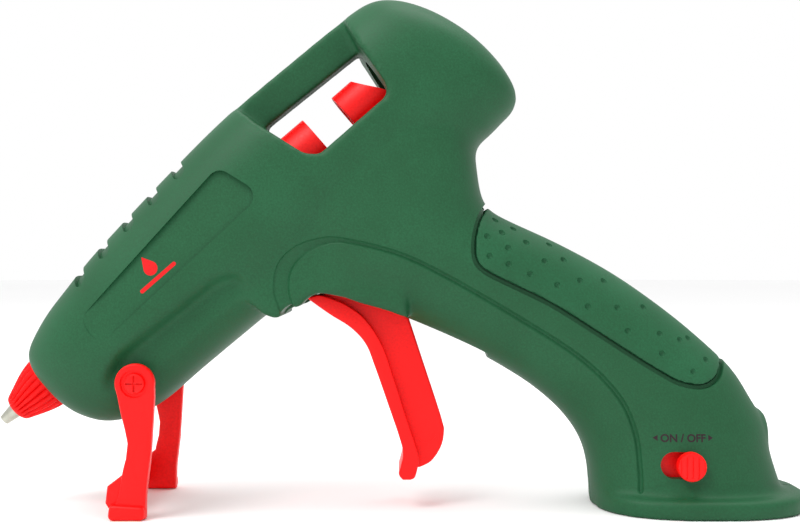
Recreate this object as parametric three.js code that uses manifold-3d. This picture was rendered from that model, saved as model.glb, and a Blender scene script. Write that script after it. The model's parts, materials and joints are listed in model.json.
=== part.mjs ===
// Hot melt glue gun, millimetres, +Z up, nozzle toward -X, standing on its handle base and bail stand.
// The barrel parts live in a tilted frame: local +X runs from the nozzle tip up the glue stick's path,
// local +Z is the upper side of the barrel, and Y is shared with the whole object.
import * as THREE from 'three';
import { mergeVertices } from 'three/addons/utils/BufferGeometryUtils.js';
import Module from 'manifold-3d';

const wasm = await Module();
wasm.setup();

// ---------------------------------------------------------------- driving dimensions
const GAP = 0.3;                    // clearance between touching pieces
const STICK_RADIUS = 5.6;           // 11.2 mm glue stick
const BARREL_TILT = 41.2 * Math.PI / 180;
const TIP = { x: -110.66, z: 23.1 };
const WALL = 2.4;                   // barrel wall
const HANDLE_WALL = 4.4;            // handle wall, thick enough to seat the grip pad
const PAD_DEPTH = 1.8;              // grip pad thickness

const CAP_BASE_RADIUS = 7.65;
const CHAMBER_RADIUS = 9;
const SLEEVE_RADIUS = 8.4;
const SLEEVE_END = 118;
const CARRIAGE_START = 128;
const CARRIAGE_RADIUS = 7.4;
const BORE_RADIUS = STICK_RADIUS + 0.35;
const STRAP_HALF_WIDTH = 3.8;

const STAND_PIVOT = { along: 39.2, up: -17.8 };
const STAND_OUTER = 22.4;           // outer face of a stand leg
const STAND_INNER = 19.4;
const FOOT_OUTER = 24.3;
const STAND_SEAT = 17.6;            // flat on the barrel side under the leg

const TRIGGER_PIVOT = { along: 96.2, up: -32 };
const LEVER_LENGTH = 17.6;          // trigger pivot to link pin
const TRIGGER_TRAVEL = 24 * Math.PI / 180;
const LINK_PIN = {
  along: TRIGGER_PIVOT.along + LEVER_LENGTH * Math.sin(TRIGGER_TRAVEL / 2),
  up: TRIGGER_PIVOT.up + LEVER_LENGTH * Math.cos(TRIGGER_TRAVEL / 2),
};
const HUB_RADIUS = 4.4;             // trigger hub
const TRIGGER_PIN = { radius: 2, halfLength: 13 };
const SMALL_PIN_RADIUS = 1.25;      // link, bite and gripper pins
const LINK_HALF_WIDTH = 2;
const FORK_HALF_GAP = 2.4;          // slots that the link swings in
const LEVER_HALF_WIDTH = 5.4;
const GRIPPER_PIN = { along: 137, up: -10.4 };
const BITE_PIN = { along: 136, up: LINK_PIN.up };
const SPRING_POST = { along: 158, up: -13 };
const PAD_HALF_WIDTH = 9.5;         // trigger finger pad
const WEB_HALF_WIDTH = 6;           // trigger web behind the pad

const BASE = { x: 82.4, halfLength: 29.2, halfWidth: 24.5, thickness: 5 };
const SWITCH = {
  x: 74.7, z: 13.5, halfLength: 5.65, halfHeight: 3.55, knob: 3.85, travel: 3.8,
  wall: 18.3,                       // flat face round the slot
  plate: 13.9,                      // outer face of the shutter behind the wall
};
const CORD_INLET = { z: 19.2, neck: 6, bush: 4.6, hole: 3.4, from: 96.6, to: 103.8, bushLip: 0.8 };

const GREEN = 0x305f40;
const RED = 0xff3333;
const STEEL = 0xb9bab6;

// ---------------------------------------------------------------- small helpers
const barrelFrame = new THREE.Matrix4()
  .makeRotationY(-BARREL_TILT)
  .setPosition(TIP.x, 0, TIP.z);

// A barrel place (along, up) as a point of the side view.
function sideView({ along, up }) {
  const point = new THREE.Vector3(along, 0, up).applyMatrix4(barrelFrame);
  return new THREE.Vector2(point.x, point.z);
}

// A closed geometry as a solid, with its faces turned outwards.
function toSolid(geometry) {
  const plain = geometry.clone();
  plain.deleteAttribute('normal');
  plain.deleteAttribute('uv');
  const merged = mergeVertices(plain, 1e-4);
  const vertProperties = new Float32Array(merged.attributes.position.array);
  const triVerts = new Uint32Array(merged.index.array);
  const solid = new wasm.Manifold(new wasm.Mesh({ numProp: 3, vertProperties, triVerts }));
  if (solid.volume() > 0) return solid;
  return new wasm.Manifold(new wasm.Mesh({ numProp: 3, vertProperties, triVerts: triVerts.reverse() }));
}

function toGeometry(solid) {
  const { vertProperties, triVerts } = solid.getMesh();
  const geometry = new THREE.BufferGeometry();
  geometry.setAttribute('position', new THREE.BufferAttribute(vertProperties, 3));
  geometry.setIndex(new THREE.BufferAttribute(triVerts, 1));
  geometry.computeVertexNormals();
  return geometry;
}

const join = (first, ...others) => others.reduce((sum, next) => sum.add(next), first);
const cut = (first, ...others) => others.reduce((rest, next) => rest.subtract(next), first);

function box(x0, x1, y0, y1, z0, z1) {
  const geometry = new THREE.BoxGeometry(x1 - x0, y1 - y0, z1 - z0);
  return geometry.translate((x0 + x1) / 2, (y0 + y1) / 2, (z0 + z1) / 2);
}

// A round bar along Y from y0 to y1, at (x, z).
function crossBar(x, z, radius, y0, y1, sides = 14) {
  const geometry = new THREE.CylinderGeometry(radius, radius, y1 - y0, sides);
  return geometry.translate(x, (y0 + y1) / 2, z);
}

// A side-view outline given a thickness from y0 to y1.
function slab(outline, y0, y1) {
  const shape = outline instanceof THREE.Shape ? outline : new THREE.Shape(outline);
  const options = { depth: y1 - y0, bevelEnabled: false, curveSegments: 6 };
  const geometry = new THREE.ExtrudeGeometry(shape, options);
  return geometry.rotateX(Math.PI / 2).translate(0, y1, 0);
}

const outlineOf = (...pairs) => pairs.map(([x, z]) => new THREE.Vector2(x, z));

// A body of revolution about the local X axis from [along, radius] pairs.
function turned(profile, sides = 32) {
  const points = profile.map(([along, radius]) => new THREE.Vector2(radius, along));
  return new THREE.LatheGeometry(points, sides).rotateZ(-Math.PI / 2);
}

// Closed ring profile: outside pairs forward, inside pairs back.
const ringProfile = (outside, inside) => [...outside, ...inside.reverse(), outside[0]];

// ---------------------------------------------------------------- lofted bodies
// Stations are {front, back, half, square}: the section runs from front to back in the side view,
// with a half width in Y, and square 2 is an ellipse.
function loft(stations, sides) {
  const rows = stations.length - 1;
  const track = (pick) => new THREE.CatmullRomCurve3(stations.map(pick), false, 'centripetal');
  const front = track((s) => new THREE.Vector3(s.front.x, s.front.y, 0));
  const back = track((s) => new THREE.Vector3(s.back.x, s.back.y, 0));
  const width = track((s, i) => new THREE.Vector3(i * 10, s.half, s.square));
  const geometry = new THREE.CylinderGeometry(1, 1, 1, sides, rows);
  const place = geometry.attributes.position;
  for (let i = 0; i < place.count; i++) {
    const t = 0.5 - place.getY(i);
    const a = front.getPoint(t);
    const b = back.getPoint(t);
    const { y: half, z: square } = width.getPoint(t);
    const rim = Math.hypot(place.getX(i), place.getZ(i));
    const turn = Math.atan2(place.getX(i), place.getZ(i));
    const power = 2 / square;
    const across = rim * Math.sign(Math.sin(turn)) * Math.abs(Math.sin(turn)) ** power;
    const along = rim * Math.sign(Math.cos(turn)) * Math.abs(Math.cos(turn)) ** power;
    const x = (a.x + b.x) / 2 + along * (b.x - a.x) / 2;
    const z = (a.y + b.y) / 2 + along * (b.y - a.y) / 2;
    place.setXYZ(i, x, across * half, z);
  }
  return geometry;
}

// Barrel sections square to the barrel: [along, top, bottom, half width].
const barrelSections = [
  [15.4, 8.0, -10.6, 9.6],
  [16.6, 9.8, -13.6, 12],
  [21.5, 12.6, -19.2, 16],
  [29, 15.1, -22.3, 19.2],
  [38, 16.6, -24.6, 21],
  [52, 18.7, -25.0, 21.8],
  [80, 21.6, -25.8, 22],
  [103, 22.8, -27, 22],
  [127, 22.3, -28.2, 21.5],
  [143, 21.6, -29, 20.4],
  [153, 20.5, -28.4, 19.4],
  [159.5, 16, -28.0, 18.3],
  [164.4, 8.4, -27.6, 16.4],
  [167.8, -1, -25.2, 12.4],
  [169.6, -12, -17, 3],
];
const BARREL_SQUARE = 2.35;

function barrelBody(inset) {
  const first = 16 + inset;
  const last = 168.5 - inset;
  const kept = barrelSections.filter(([along], i) => i % 2 === 0 && along > first && along < last);
  const sections = inset > 0 ? kept : barrelSections;
  return loft(sections.map(([along, top, bottom, half]) => ({
    front: sideView({ along, up: top - inset }),
    back: sideView({ along, up: bottom + inset }),
    half: half - inset,
    square: BARREL_SQUARE,
  })), inset > 0 ? 14 : 26);
}

// Handle sections from its front edge to its back edge: [front x, z, back x, z, half width, squareness].
// They start flat sided, where the trigger's pin crosses, and turn oval down the grip.
const HANDLE_SQUARE = 2.3;
const handleSections = [
  [-25, 68, 19, 99, 17, 3.6],
  [-19.6, 59.2, 21.6, 87, 18, 3.6],
  [-3.6, 54.2, 25.2, 81.4, 17.5, 3.2],
  [8.7, 49.2, 43.7, 72.7, 16.5, 2.6],
  [19.6, 43.9, 58.2, 64.9, 16],
  [28, 39.4, 70.3, 56.7, 16],
  [36.4, 34, 81.2, 48.1, 16],
  [43.4, 28.2, 91.6, 38.3, 16.3],
  [48.2, 22.6, 97.4, 29.3, 17],
  [51.2, 17, 101.1, 22.6, 17.6],
  [52.6, 11.4, 102.5, 15, 18.3],
  [52.9, 6.9, 104.6, 8, 19.5],
  [53.2, 2.5, 106.4, 2.5, 20.5],
];

function handleBody(inset, hollow = false) {
  const sections = hollow ? handleSections.filter((_, i) => i % 2) : handleSections;
  return loft(sections.map(([x0, z0, x1, z1, half, square = HANDLE_SQUARE]) => {
    const reach = Math.hypot(x1 - x0, z1 - z0);
    const step = inset / reach;
    return {
      front: new THREE.Vector2(x0 + (x1 - x0) * step, z0 + (z1 - z0) * step),
      back: new THREE.Vector2(x1 - (x1 - x0) * step, z1 - (z1 - z0) * step),
      half: half - inset,
      square,
    };
  }), hollow ? 14 : 22);
}

// The flat oval foot flange under the handle, with a rounded upper edge.
function baseFlange() {
  const sides = 32;
  const squareness = 2.5;
  const shape = new THREE.Shape(Array.from({ length: sides }, (_, i) => {
    const turn = i / sides * 2 * Math.PI;
    const round = (value) => Math.sign(value) * Math.abs(value) ** (2 / squareness);
    return new THREE.Vector2(BASE.x + BASE.halfLength * round(Math.cos(turn)),
      BASE.halfWidth * round(Math.sin(turn)));
  }));
  const rim = 1.2;
  const plate = new THREE.ExtrudeGeometry(shape, {
    depth: BASE.thickness - 2 * rim, bevelThickness: rim, bevelSize: rim, bevelOffset: -rim, bevelSegments: 2,
  }).translate(0, 0, rim);
  const sole = new THREE.ExtrudeGeometry(shape, { depth: BASE.thickness / 2, bevelEnabled: false });
  return join(toSolid(plate), toSolid(sole));
}

// ---------------------------------------------------------------- barrel cuts and ribs
// The window through the barrel, in barrel places, and the space beside the hanging strap above it.
const windowOutline = outlineOf([108.2, 12.9], [113.2, -0.6], [116, -3.3], [139.6, -3.3], [141.4, -1.6],
  [143.2, 11.4]);
const strapSpace = outlineOf([108.2, 12.9], [143.2, 11.4], [147, 32], [104.6, 32]);

// The side of the barrel that the folded stand lies against.
const seatOutline = outlineOf([30, -11.4], [74, -11.4], [77, -14], [77.5, -34], [24, -34], [24, -13]);

function grown(outline, distance) {
  const centre = outline.reduce((sum, p) => sum.add(p), new THREE.Vector2()).divideScalar(outline.length);
  return outline.map((p) => {
    const out = p.clone().sub(centre);
    return p.clone().add(out.setLength(distance));
  });
}

const inBarrel = (geometry) => toSolid(geometry.applyMatrix4(barrelFrame));
const FULL = 60;                    // reaches past the body on both sides

const screwPlaces = [
  sideView({ along: 27.5, up: -15 }),
  sideView({ along: 80, up: -20.5 }),
  sideView({ along: 101, up: 16.5 }),
  sideView({ along: 154, up: -20.5 }),
  new THREE.Vector2(44, 52),
  new THREE.Vector2(84, 28),
];
const SCREW = { shaft: 1.5, head: 2.8, seat: 6, headHeight: 2.2, tip: -9 };
const STAND_SCREW = { shaft: 1.5, head: 2.9, headHeight: 2.2, length: 11 };
const BOSS_RADIUS = 3.4;
const PIVOT_BOSS_RADIUS = 4.6;
const STAND_BOSS_RADIUS = 4.4;

function housingSolid() {
  const outer = join(toSolid(barrelBody(0)), toSolid(handleBody(0)), baseFlange());
  const hollow = join(toSolid(barrelBody(WALL)), toSolid(handleBody(HANDLE_WALL, true)));

  // Walls that the hollow must not reach: window frame, nose, ribs, screw bosses, pivot seats.
  const frame = join(inBarrel(slab(grown(windowOutline, 3), -FULL, FULL)),
    inBarrel(slab(grown(strapSpace, 3), -FULL, FULL)));
  const chamberRib = inBarrel(box(30, 32.4, -FULL, FULL, -14, 30));
  const sleeveRib = inBarrel(box(98.5, 100.7, -FULL, FULL, -7, 30));
  const guideRib = inBarrel(box(150, 152.2, -FULL, FULL, -9, 30));
  const bosses = screwPlaces.map(({ x, y: z }) => toSolid(crossBar(x, z, BOSS_RADIUS, -FULL, FULL)));
  const trigger = sideView(TRIGGER_PIVOT);
  const stand = sideView(STAND_PIVOT);
  const post = sideView(SPRING_POST);
  const pivots = [
    toSolid(crossBar(trigger.x, trigger.y, PIVOT_BOSS_RADIUS, -FULL, -PAD_HALF_WIDTH - 1)),
    toSolid(crossBar(trigger.x, trigger.y, PIVOT_BOSS_RADIUS, PAD_HALF_WIDTH + 1, FULL)),
    toSolid(crossBar(stand.x, stand.y, PIVOT_BOSS_RADIUS, -FULL, -8)),
    toSolid(crossBar(stand.x, stand.y, PIVOT_BOSS_RADIUS, 8, FULL)),
    toSolid(crossBar(post.x, post.y, 1.6, -FULL, FULL, 12)),
  ];
  const seatBacks = [[-FULL, -STAND_SEAT + WALL], [STAND_SEAT - WALL, FULL]].map((span) =>
    inBarrel(slab(grown(seatOutline, WALL), ...span)));
  const walls = join(frame, ...seatBacks, chamberRib, sleeveRib, guideRib, ...bosses, ...pivots);
  let housing = join(cut(outer, hollow), walls.intersect(outer));

  // Through the barrel: window, strap sides, stick path, nose hole, heater space.
  const strap = inBarrel(slab(strapSpace, -STRAP_HALF_WIDTH, STRAP_HALF_WIDTH));
  const sides = inBarrel(slab(strapSpace, -FULL, FULL)).subtract(strap);
  const chamberRoom = CHAMBER_RADIUS + GAP;
  const sleeveRoom = SLEEVE_RADIUS + GAP;
  const stickPath = [[10, 0], [10, 8], [29, 8], [29, chamberRoom], [97, chamberRoom], [97, sleeveRoom],
    [146, sleeveRoom], [146, 6.6], [166, 6.6], [172, 8], [172, 0]];
  const heaterRoom = box(36, 79, -10.8, 10.8, -18.4, 0);
  housing = cut(housing, inBarrel(slab(windowOutline, -FULL, FULL)), sides, inBarrel(turned(stickPath, 20)),
    inBarrel(heaterRoom));

  // The feed runs under the window, and the trigger swings through the underside.
  const feedRoom = box(112, 150, -13, 13, -17, -4);
  const leverRoom = box(88, 112, -6.2, 6.2, -24, -4);
  const padRoom = PAD_HALF_WIDTH + 0.7;
  const webRoom = WEB_HALF_WIDTH + 0.8;
  housing = cut(housing, inBarrel(feedRoom), inBarrel(leverRoom), toSolid(slab(padSwing, -padRoom, padRoom)),
    toSolid(slab(webSwing, -webRoom, webRoom)));

  // Flat seats for the stand legs, with round bosses left standing.
  for (const side of [-1, 1]) {
    const span = side < 0 ? [-FULL, -STAND_SEAT] : [STAND_SEAT, FULL];
    const ring = toSolid(crossBar(stand.x, stand.y, STAND_BOSS_RADIUS, ...span));
    const face = side < 0 ? [-STAND_INNER + GAP, FULL] : [-FULL, STAND_INNER - GAP];
    const keep = ring.intersect(toSolid(box(-FULL * 4, FULL * 4, ...face, -FULL, FULL * 4)));
    housing = cut(housing, inBarrel(slab(seatOutline, ...span)).subtract(keep));
    const hole = side < 0 ? [-FULL, -11] : [11, FULL];
    housing = housing.subtract(toSolid(crossBar(stand.x, stand.y, STAND_SCREW.shaft + GAP, ...hole, 16)));
  }

  // Screw holes: clear through the right half, blind in the left half.
  for (const { x, y: z } of screwPlaces) {
    housing = cut(housing,
      toSolid(crossBar(x, z, SCREW.shaft + GAP, SCREW.tip - 1, FULL, 16)),
      toSolid(crossBar(x, z, SCREW.head + GAP, SCREW.seat, FULL, 18)));
  }
  const pinHole = TRIGGER_PIN.halfLength + GAP;
  const pinBore = crossBar(trigger.x, trigger.y, TRIGGER_PIN.radius + GAP, -pinHole, pinHole);
  housing = housing.subtract(toSolid(pinBore));

  // Seat of the grip pad.
  housing = housing.subtract(gripLayer(1, PAD_DEPTH + GAP, GAP));

  // Cord inlet: a short round neck on the back of the handle.
  const neck = toSolid(inletBar(CORD_INLET.neck, CORD_INLET.from - 3, CORD_INLET.to));
  const inletHole = toSolid(inletBar(CORD_INLET.bush + GAP, CORD_INLET.from - 6, CORD_INLET.to + 9));
  housing = housing.add(neck.subtract(toSolid(handleBody(HANDLE_WALL, true)))).subtract(inletHole);

  // Switch slot in the left wall, with room for the shutter behind it.
  const slot = obround(SWITCH.halfLength, SWITCH.halfHeight);
  const flat = obround(SWITCH.halfLength + 1.2, SWITCH.halfHeight + 1.2);
  const inside = -8;
  const room = box(SWITCH.x - 10.9, SWITCH.x + 10.6, -SWITCH.plate - 1.3, inside,
    SWITCH.z - 5.4, SWITCH.z + 5.4);
  return cut(housing, toSolid(room),
    toSolid(slab(slot, -FULL, inside).translate(SWITCH.x, 0, SWITCH.z)),
    toSolid(slab(flat, -FULL, -SWITCH.wall).translate(SWITCH.x, 0, SWITCH.z)));
}

// A round bar along the cord's way out of the handle's back, toward +X.
function inletBar(radius, from, to) {
  const bar = new THREE.CylinderGeometry(radius, radius, to - from, 24).rotateZ(Math.PI / 2);
  return bar.translate((from + to) / 2, 0, CORD_INLET.z);
}

function obround(halfLength, halfHeight) {
  const shape = new THREE.Shape();
  const straight = halfLength - halfHeight;
  shape.absarc(straight, 0, halfHeight, -Math.PI / 2, Math.PI / 2);
  shape.absarc(-straight, 0, halfHeight, Math.PI / 2, 3 * Math.PI / 2);
  return shape;
}

// ---------------------------------------------------------------- grip pad
const padOutline = outlineOf([23.7, 82], [20.4, 76.5], [20.6, 70.5], [24.6, 65.4], [36.8, 59.4], [52, 50.2],
  [67.2, 40.8], [74.8, 35], [82.2, 31.8], [88, 33.8], [91.4, 38.8], [95, 46], [70, 66], [40, 84]);

// The layer of the handle inside the pad's outline, from a height above its skin to a depth below it.
function gripLayer(above, below, clearance) {
  const skin = toSolid(handleBody(-above)).subtract(toSolid(handleBody(below)));
  return skin.intersect(toSolid(slab(grown(padOutline, clearance), -FULL, FULL)));
}

// ---------------------------------------------------------------- trigger
// The side-view spaces that the finger pad and the web swing through.
const padSwing = outlineOf([-27.6, 50], [1.5, 44], [0, 58], [-6, 72], [-24, 78], [-27.6, 66]);
const webSwing = outlineOf([-10, 40], [26, 34], [18, 66], [-10, 70]);

// Finger pad: a band that curves down from under the barrel to a small beak.
function padBand() {
  const front = new THREE.SplineCurve(outlineOf([-25.4, 57.6], [-19.2, 53.2], [-13.4, 49.5], [-9.3, 45],
    [-6.8, 38.8], [-3.5, 29.4], [-0.25, 19.9], [0.8, 15], [0.1, 11], [-0.5, 8.4]));
  const back = new THREE.SplineCurve(outlineOf([4.2, 7.6], [5.1, 13], [4.7, 16.2], [1.8, 24.9], [-1.5, 35.1],
    [-4.8, 44.6], [-9.3, 51.6], [-14.6, 55.7], [-20, 57.9], [-22.4, 58.4]));
  const beak = outlineOf([0.6, 6.5], [3, 6.5]);
  return [...front.getPoints(11), ...beak, ...back.getPoints(11)];
}

function triggerSolid() {
  const hub = sideView(TRIGGER_PIVOT);
  const pin = sideView(LINK_PIN);
  const bevel = 1;
  const band = new THREE.ExtrudeGeometry(new THREE.Shape(padBand()), {
    depth: 2 * (PAD_HALF_WIDTH - bevel), bevelThickness: bevel, bevelSize: bevel, bevelOffset: -bevel,
    bevelSegments: 2,
  }).rotateX(Math.PI / 2).translate(0, PAD_HALF_WIDTH - bevel, 0);
  const webOutline = outlineOf([-13, 52.6], [-6.4, 44.6], [-0.4, 26], [3, 14], [2.6, 9.4], [8.8, 11.3],
    [11.3, 15.4], [12.1, 19.9], [11.5, 24.1], [6.7, 38.8], [2.4, 51.8], [-1.6, 59], [-8, 64], [-16, 67.4],
    [-21.5, 62], [-21, 58]);
  const web = toSolid(slab(webOutline, -WEB_HALF_WIDTH, WEB_HALF_WIDTH));
  const lever = slab(outlineOf([hub.x + 4.4, hub.y - 1], [hub.x - 4.2, hub.y + 1],
    [pin.x - 2.6, pin.y + 1], [pin.x + 2.6, pin.y + 1.2]), -LEVER_HALF_WIDTH, LEVER_HALF_WIDTH);
  const eye = crossBar(pin.x, pin.y, 2.9, -LEVER_HALF_WIDTH, LEVER_HALF_WIDTH);
  const fork = inBarrel(box(LINK_PIN.along - 14, LINK_PIN.along + 12, -FORK_HALF_GAP, FORK_HALF_GAP,
    LINK_PIN.up - 7, LINK_PIN.up + 6));
  const arm = join(toSolid(lever), toSolid(eye)).subtract(fork);
  const body = join(toSolid(band), web, toSolid(crossBar(hub.x, hub.y, HUB_RADIUS, -8, 8, 24)), arm);
  return cut(body,
    toSolid(crossBar(hub.x, hub.y, TRIGGER_PIN.radius + GAP, -FULL, FULL, 18)),
    toSolid(crossBar(pin.x, pin.y, SMALL_PIN_RADIUS + GAP, -FULL, FULL, 14)));
}

// ---------------------------------------------------------------- stand
// One leg from its round head at the pivot down to the foot, in the side view about the pivot.
function legOutline(centre) {
  const shape = new THREE.Shape();
  shape.absarc(centre.x, centre.y, 5.1, -0.25, Math.PI + 0.25, false);
  shape.lineTo(centre.x - 3.9, centre.y - 7.6);
  shape.quadraticCurveTo(centre.x - 2.9, centre.y - 12, centre.x - 1.7, centre.y - 15.4);
  shape.lineTo(centre.x - 3.2, centre.y - 23);
  shape.quadraticCurveTo(centre.x - 5.6, centre.y - 26, centre.x - 7.4, 7);
  shape.lineTo(centre.x - 7.2, 0);
  shape.lineTo(centre.x + 2.4, 0);
  shape.quadraticCurveTo(centre.x + 3.4, 12, centre.x + 4.1, 17);
  return shape;
}

function standSolid() {
  const centre = sideView(STAND_PIVOT);
  const parts = [];
  for (const side of [-1, 1]) {
    const span = side < 0 ? [-STAND_OUTER, -STAND_INNER] : [STAND_INNER, STAND_OUTER];
    parts.push(toSolid(slab(legOutline(centre), ...span)));
    const lip = side < 0 ? [-FOOT_OUTER, -STAND_INNER] : [STAND_INNER, FOOT_OUTER];
    parts.push(toSolid(box(centre.x - 7.2, centre.x + 2.4, ...lip, 0, 3)));
  }
  const bar = outlineOf([-5, 9], [-7.3, 8.6], [-7.7, 4.6], [-6.6, 3], [-4.4, 3]);
  parts.push(toSolid(slab(bar.map((p) => new THREE.Vector2(centre.x + p.x, p.y)), -STAND_INNER - 1,
    STAND_INNER + 1)));
  const whole = join(...parts);
  return cut(whole, toSolid(crossBar(centre.x, centre.y, 1.9 + GAP, -FULL, FULL, 16)),
    toSolid(crossBar(centre.x, centre.y, 3.8, -FULL, -STAND_OUTER + 1, 20)),
    toSolid(crossBar(centre.x, centre.y, 3.8, STAND_OUTER - 1, FULL, 20)));
}

// ---------------------------------------------------------------- feed parts, in barrel places
const smallPin = (place, radius, halfLength) =>
  crossBar(place.along, place.up, radius, -halfLength, halfLength, 12);

function carriageSolid() {
  const rear = 143;
  const tube = toSolid(turned(ringProfile([[CARRIAGE_START, CARRIAGE_RADIUS], [rear, CARRIAGE_RADIUS]],
    [[CARRIAGE_START, BORE_RADIUS], [rear, BORE_RADIUS]]), 22));
  const slope = slab(outlineOf([134.6, 9], [141.8, -4.4], [141.8, -9], [160, -9], [160, 9]), -20, 20);
  const cheeks = [-1, 1].map((side) => toSolid(box(130.5, 141.4, Math.min(side * 4.9, side * 7.2),
    Math.max(side * 4.9, side * 7.2), -14.2, -5)));
  const wings = [-1, 1].map((side) => toSolid(box(129.5, 141.4, Math.min(side * 5, side * 11.5),
    Math.max(side * 5, side * 11.5), -11.4, -9)));
  const bridge = toSolid(box(139.6, 141.4, -7, 7, -14.2, -6.5));
  const body = join(tube.subtract(toSolid(slope)), ...cheeks, ...wings, bridge);
  return cut(body,
    toSolid(turned([[120, 0], [120, BORE_RADIUS], [150, BORE_RADIUS], [150, 0]], 22)),
    toSolid(box(129.6, 139, -4.8, 4.8, -20, -3)),
    toSolid(smallPin(GRIPPER_PIN, SMALL_PIN_RADIUS + GAP, FULL)));
}

function gripperSolid() {
  const outline = outlineOf([131, -6.4], [131.8, -7.4], [132.6, -6.4], [133.4, -7.4], [134.2, -6.6],
    [138.6, -8.6], [138.8, -12], [138, -17], [134, -17], [133.6, -12.6], [131.6, -9.2]);
  const body = toSolid(slab(outline, -4.4, 4.4));
  return cut(body, toSolid(box(125, 145, -FORK_HALF_GAP, FORK_HALF_GAP, -30, -11)),
    toSolid(smallPin(GRIPPER_PIN, SMALL_PIN_RADIUS + GAP, FULL)),
    toSolid(smallPin(BITE_PIN, SMALL_PIN_RADIUS + GAP, FULL)));
}

function linkSolid() {
  const outline = new THREE.Shape();
  outline.absarc(LINK_PIN.along, LINK_PIN.up, 2.6, Math.PI / 2, 3 * Math.PI / 2);
  outline.absarc(BITE_PIN.along, BITE_PIN.up, 2.6, -Math.PI / 2, Math.PI / 2);
  const slotHole = obround(2.4, 1.9);
  return cut(toSolid(slab(outline, -LINK_HALF_WIDTH, LINK_HALF_WIDTH)),
    toSolid(smallPin(LINK_PIN, SMALL_PIN_RADIUS + GAP, FULL)),
    toSolid(slab(slotHole, -5, 5).translate(BITE_PIN.along, 0, BITE_PIN.up)));
}

class Coil extends THREE.Curve {
  constructor(length, radius, turns) {
    super();
    Object.assign(this, { length, radius, turns });
  }

  getPoint(t, target = new THREE.Vector3()) {
    const turn = t * this.turns * 2 * Math.PI;
    return target.set(t * this.length, this.radius * Math.cos(turn), this.radius * Math.sin(turn));
  }
}

function ring(radius, sides) {
  return new THREE.Shape(Array.from({ length: sides }, (_, i) => {
    const turn = i / sides * 2 * Math.PI;
    return new THREE.Vector2(radius * Math.cos(turn), radius * Math.sin(turn));
  }));
}

function wire(curve, radius, sides, steps) {
  return new THREE.ExtrudeGeometry(ring(radius, sides), { extrudePath: curve, steps, bevelEnabled: false });
}

// ---------------------------------------------------------------- hot end, in barrel places
const nozzle = () => turned(ringProfile(
  [[0, 1.4], [3.4, 2], [4.8, 2.2], [6, 2.6], [16, 2.6], [16, 5], [18.6, 5], [18.6, 3.5], [27, 3.5]],
  [[0, 0.9], [22, 0.9], [27, 2.4]]), 16);

const nozzleCap = () => turned(ringProfile(
  [[4.7, 3.2], [5.2, 4], [8.5, 5], [12.5, 6.6], [15.4, CAP_BASE_RADIUS], [18.2, CAP_BASE_RADIUS]],
  [[4.7, 2.5], [6.4, 2.95], [15.6, 2.95], [15.6, 5.35], [18.2, 5.35]]), 24);

function chamberSolid() {
  const spigot = CHAMBER_RADIUS - 1.8;
  const body = toSolid(turned(ringProfile(
    [[19, 6.4], [26, 6.4], [28, CHAMBER_RADIUS], [84, CHAMBER_RADIUS], [84, spigot], [92, spigot]],
    [[19, 3.8], [27.4, 3.8], [27.4, 2.6], [34, 5.6], [92, BORE_RADIUS]]), 20));
  const pad = toSolid(box(42, 76, -8.6, 8.6, -11, -5));
  const bore = toSolid(turned([[30, 0], [30, 4.6], [34, 5.8], [90, 5.8], [90, 0]], 20));
  return join(body, pad).subtract(bore);
}

function sleeveSolid() {
  const socket = CHAMBER_RADIUS - 1.8 + GAP;
  return toSolid(turned(ringProfile(
    [[85, 9.2], [92.6, 9.2], [95, SLEEVE_RADIUS], [SLEEVE_END, SLEEVE_RADIUS - 0.3]],
    [[85, socket], [92.4, socket], [92.4, BORE_RADIUS], [SLEEVE_END - 2, BORE_RADIUS],
      [SLEEVE_END, BORE_RADIUS + 1.1]]), 22));
}

const bandRing = (from, to, inner, outer) => turned(ringProfile([[from, outer], [to, outer]],
  [[from, inner], [to, inner]]), 20);

function heaterClip() {
  const outline = outlineOf([-10.4, 3], [-10.4, -16.6], [10.4, -16.6], [10.4, 3], [9.6, 3], [9.6, -15.8],
    [-9.6, -15.8], [-9.6, 3]);
  const geometry = new THREE.ExtrudeGeometry(new THREE.Shape(outline), { depth: 14, bevelEnabled: false });
  return geometry.rotateX(Math.PI / 2).rotateZ(Math.PI / 2).translate(66, 0, 0);
}

// ---------------------------------------------------------------- screws and switch
// A pan head screw along +Y with a cross slot: the head's top is at y = 0, the shaft points to -Y.
function screw({ shaft, head, headHeight, length }) {
  const profile = [[0, 0], [head * 0.7, 0], [head, -headHeight * 0.5], [head, -headHeight],
    [shaft, -headHeight], [shaft, -length + 1], [shaft * 0.4, -length], [0, -length]];
  const body = new THREE.LatheGeometry(profile.map(([r, y]) => new THREE.Vector2(r, y)).reverse(), 8);
  const slotWidth = head * 0.28;
  const slotReach = head * 0.62;
  const depth = headHeight * 0.55;
  return cut(toSolid(body),
    toSolid(box(-slotReach, slotReach, -depth, 1, -slotWidth / 2, slotWidth / 2)),
    toSolid(box(-slotWidth / 2, slotWidth / 2, -depth, 1, -slotReach, slotReach)));
}

function switchSlider() {
  const { x, z, travel, wall, knob, plate } = SWITCH;
  const centre = x + travel / 2;
  const disc = toSolid(crossBar(centre, z, knob, -wall - 3.1, -wall - 0.5, 28));
  const stem = toSolid(crossBar(centre, z, 2.4, -wall - 1, -plate - 0.5));
  const shutter = toSolid(box(centre - 8.4, centre + 7.8, -plate - 1, -plate, z - 4.8, z + 4.8));
  return join(disc, stem, shutter);
}

// ---------------------------------------------------------------- the assembly
const gun = new THREE.Group();
const barrel = new THREE.Group();
barrel.position.set(TIP.x, 0, TIP.z);
barrel.rotation.y = -BARREL_TILT;
gun.add(barrel);

function add(group, name, shape, color, roughness = 0.5, metalness = 0) {
  const geometry = toGeometry(shape.isBufferGeometry ? toSolid(shape) : shape);
  const mesh = new THREE.Mesh(geometry, new THREE.MeshStandardMaterial({ color, roughness, metalness }));
  mesh.name = name;
  group.add(mesh);
  return mesh;
}

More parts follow.
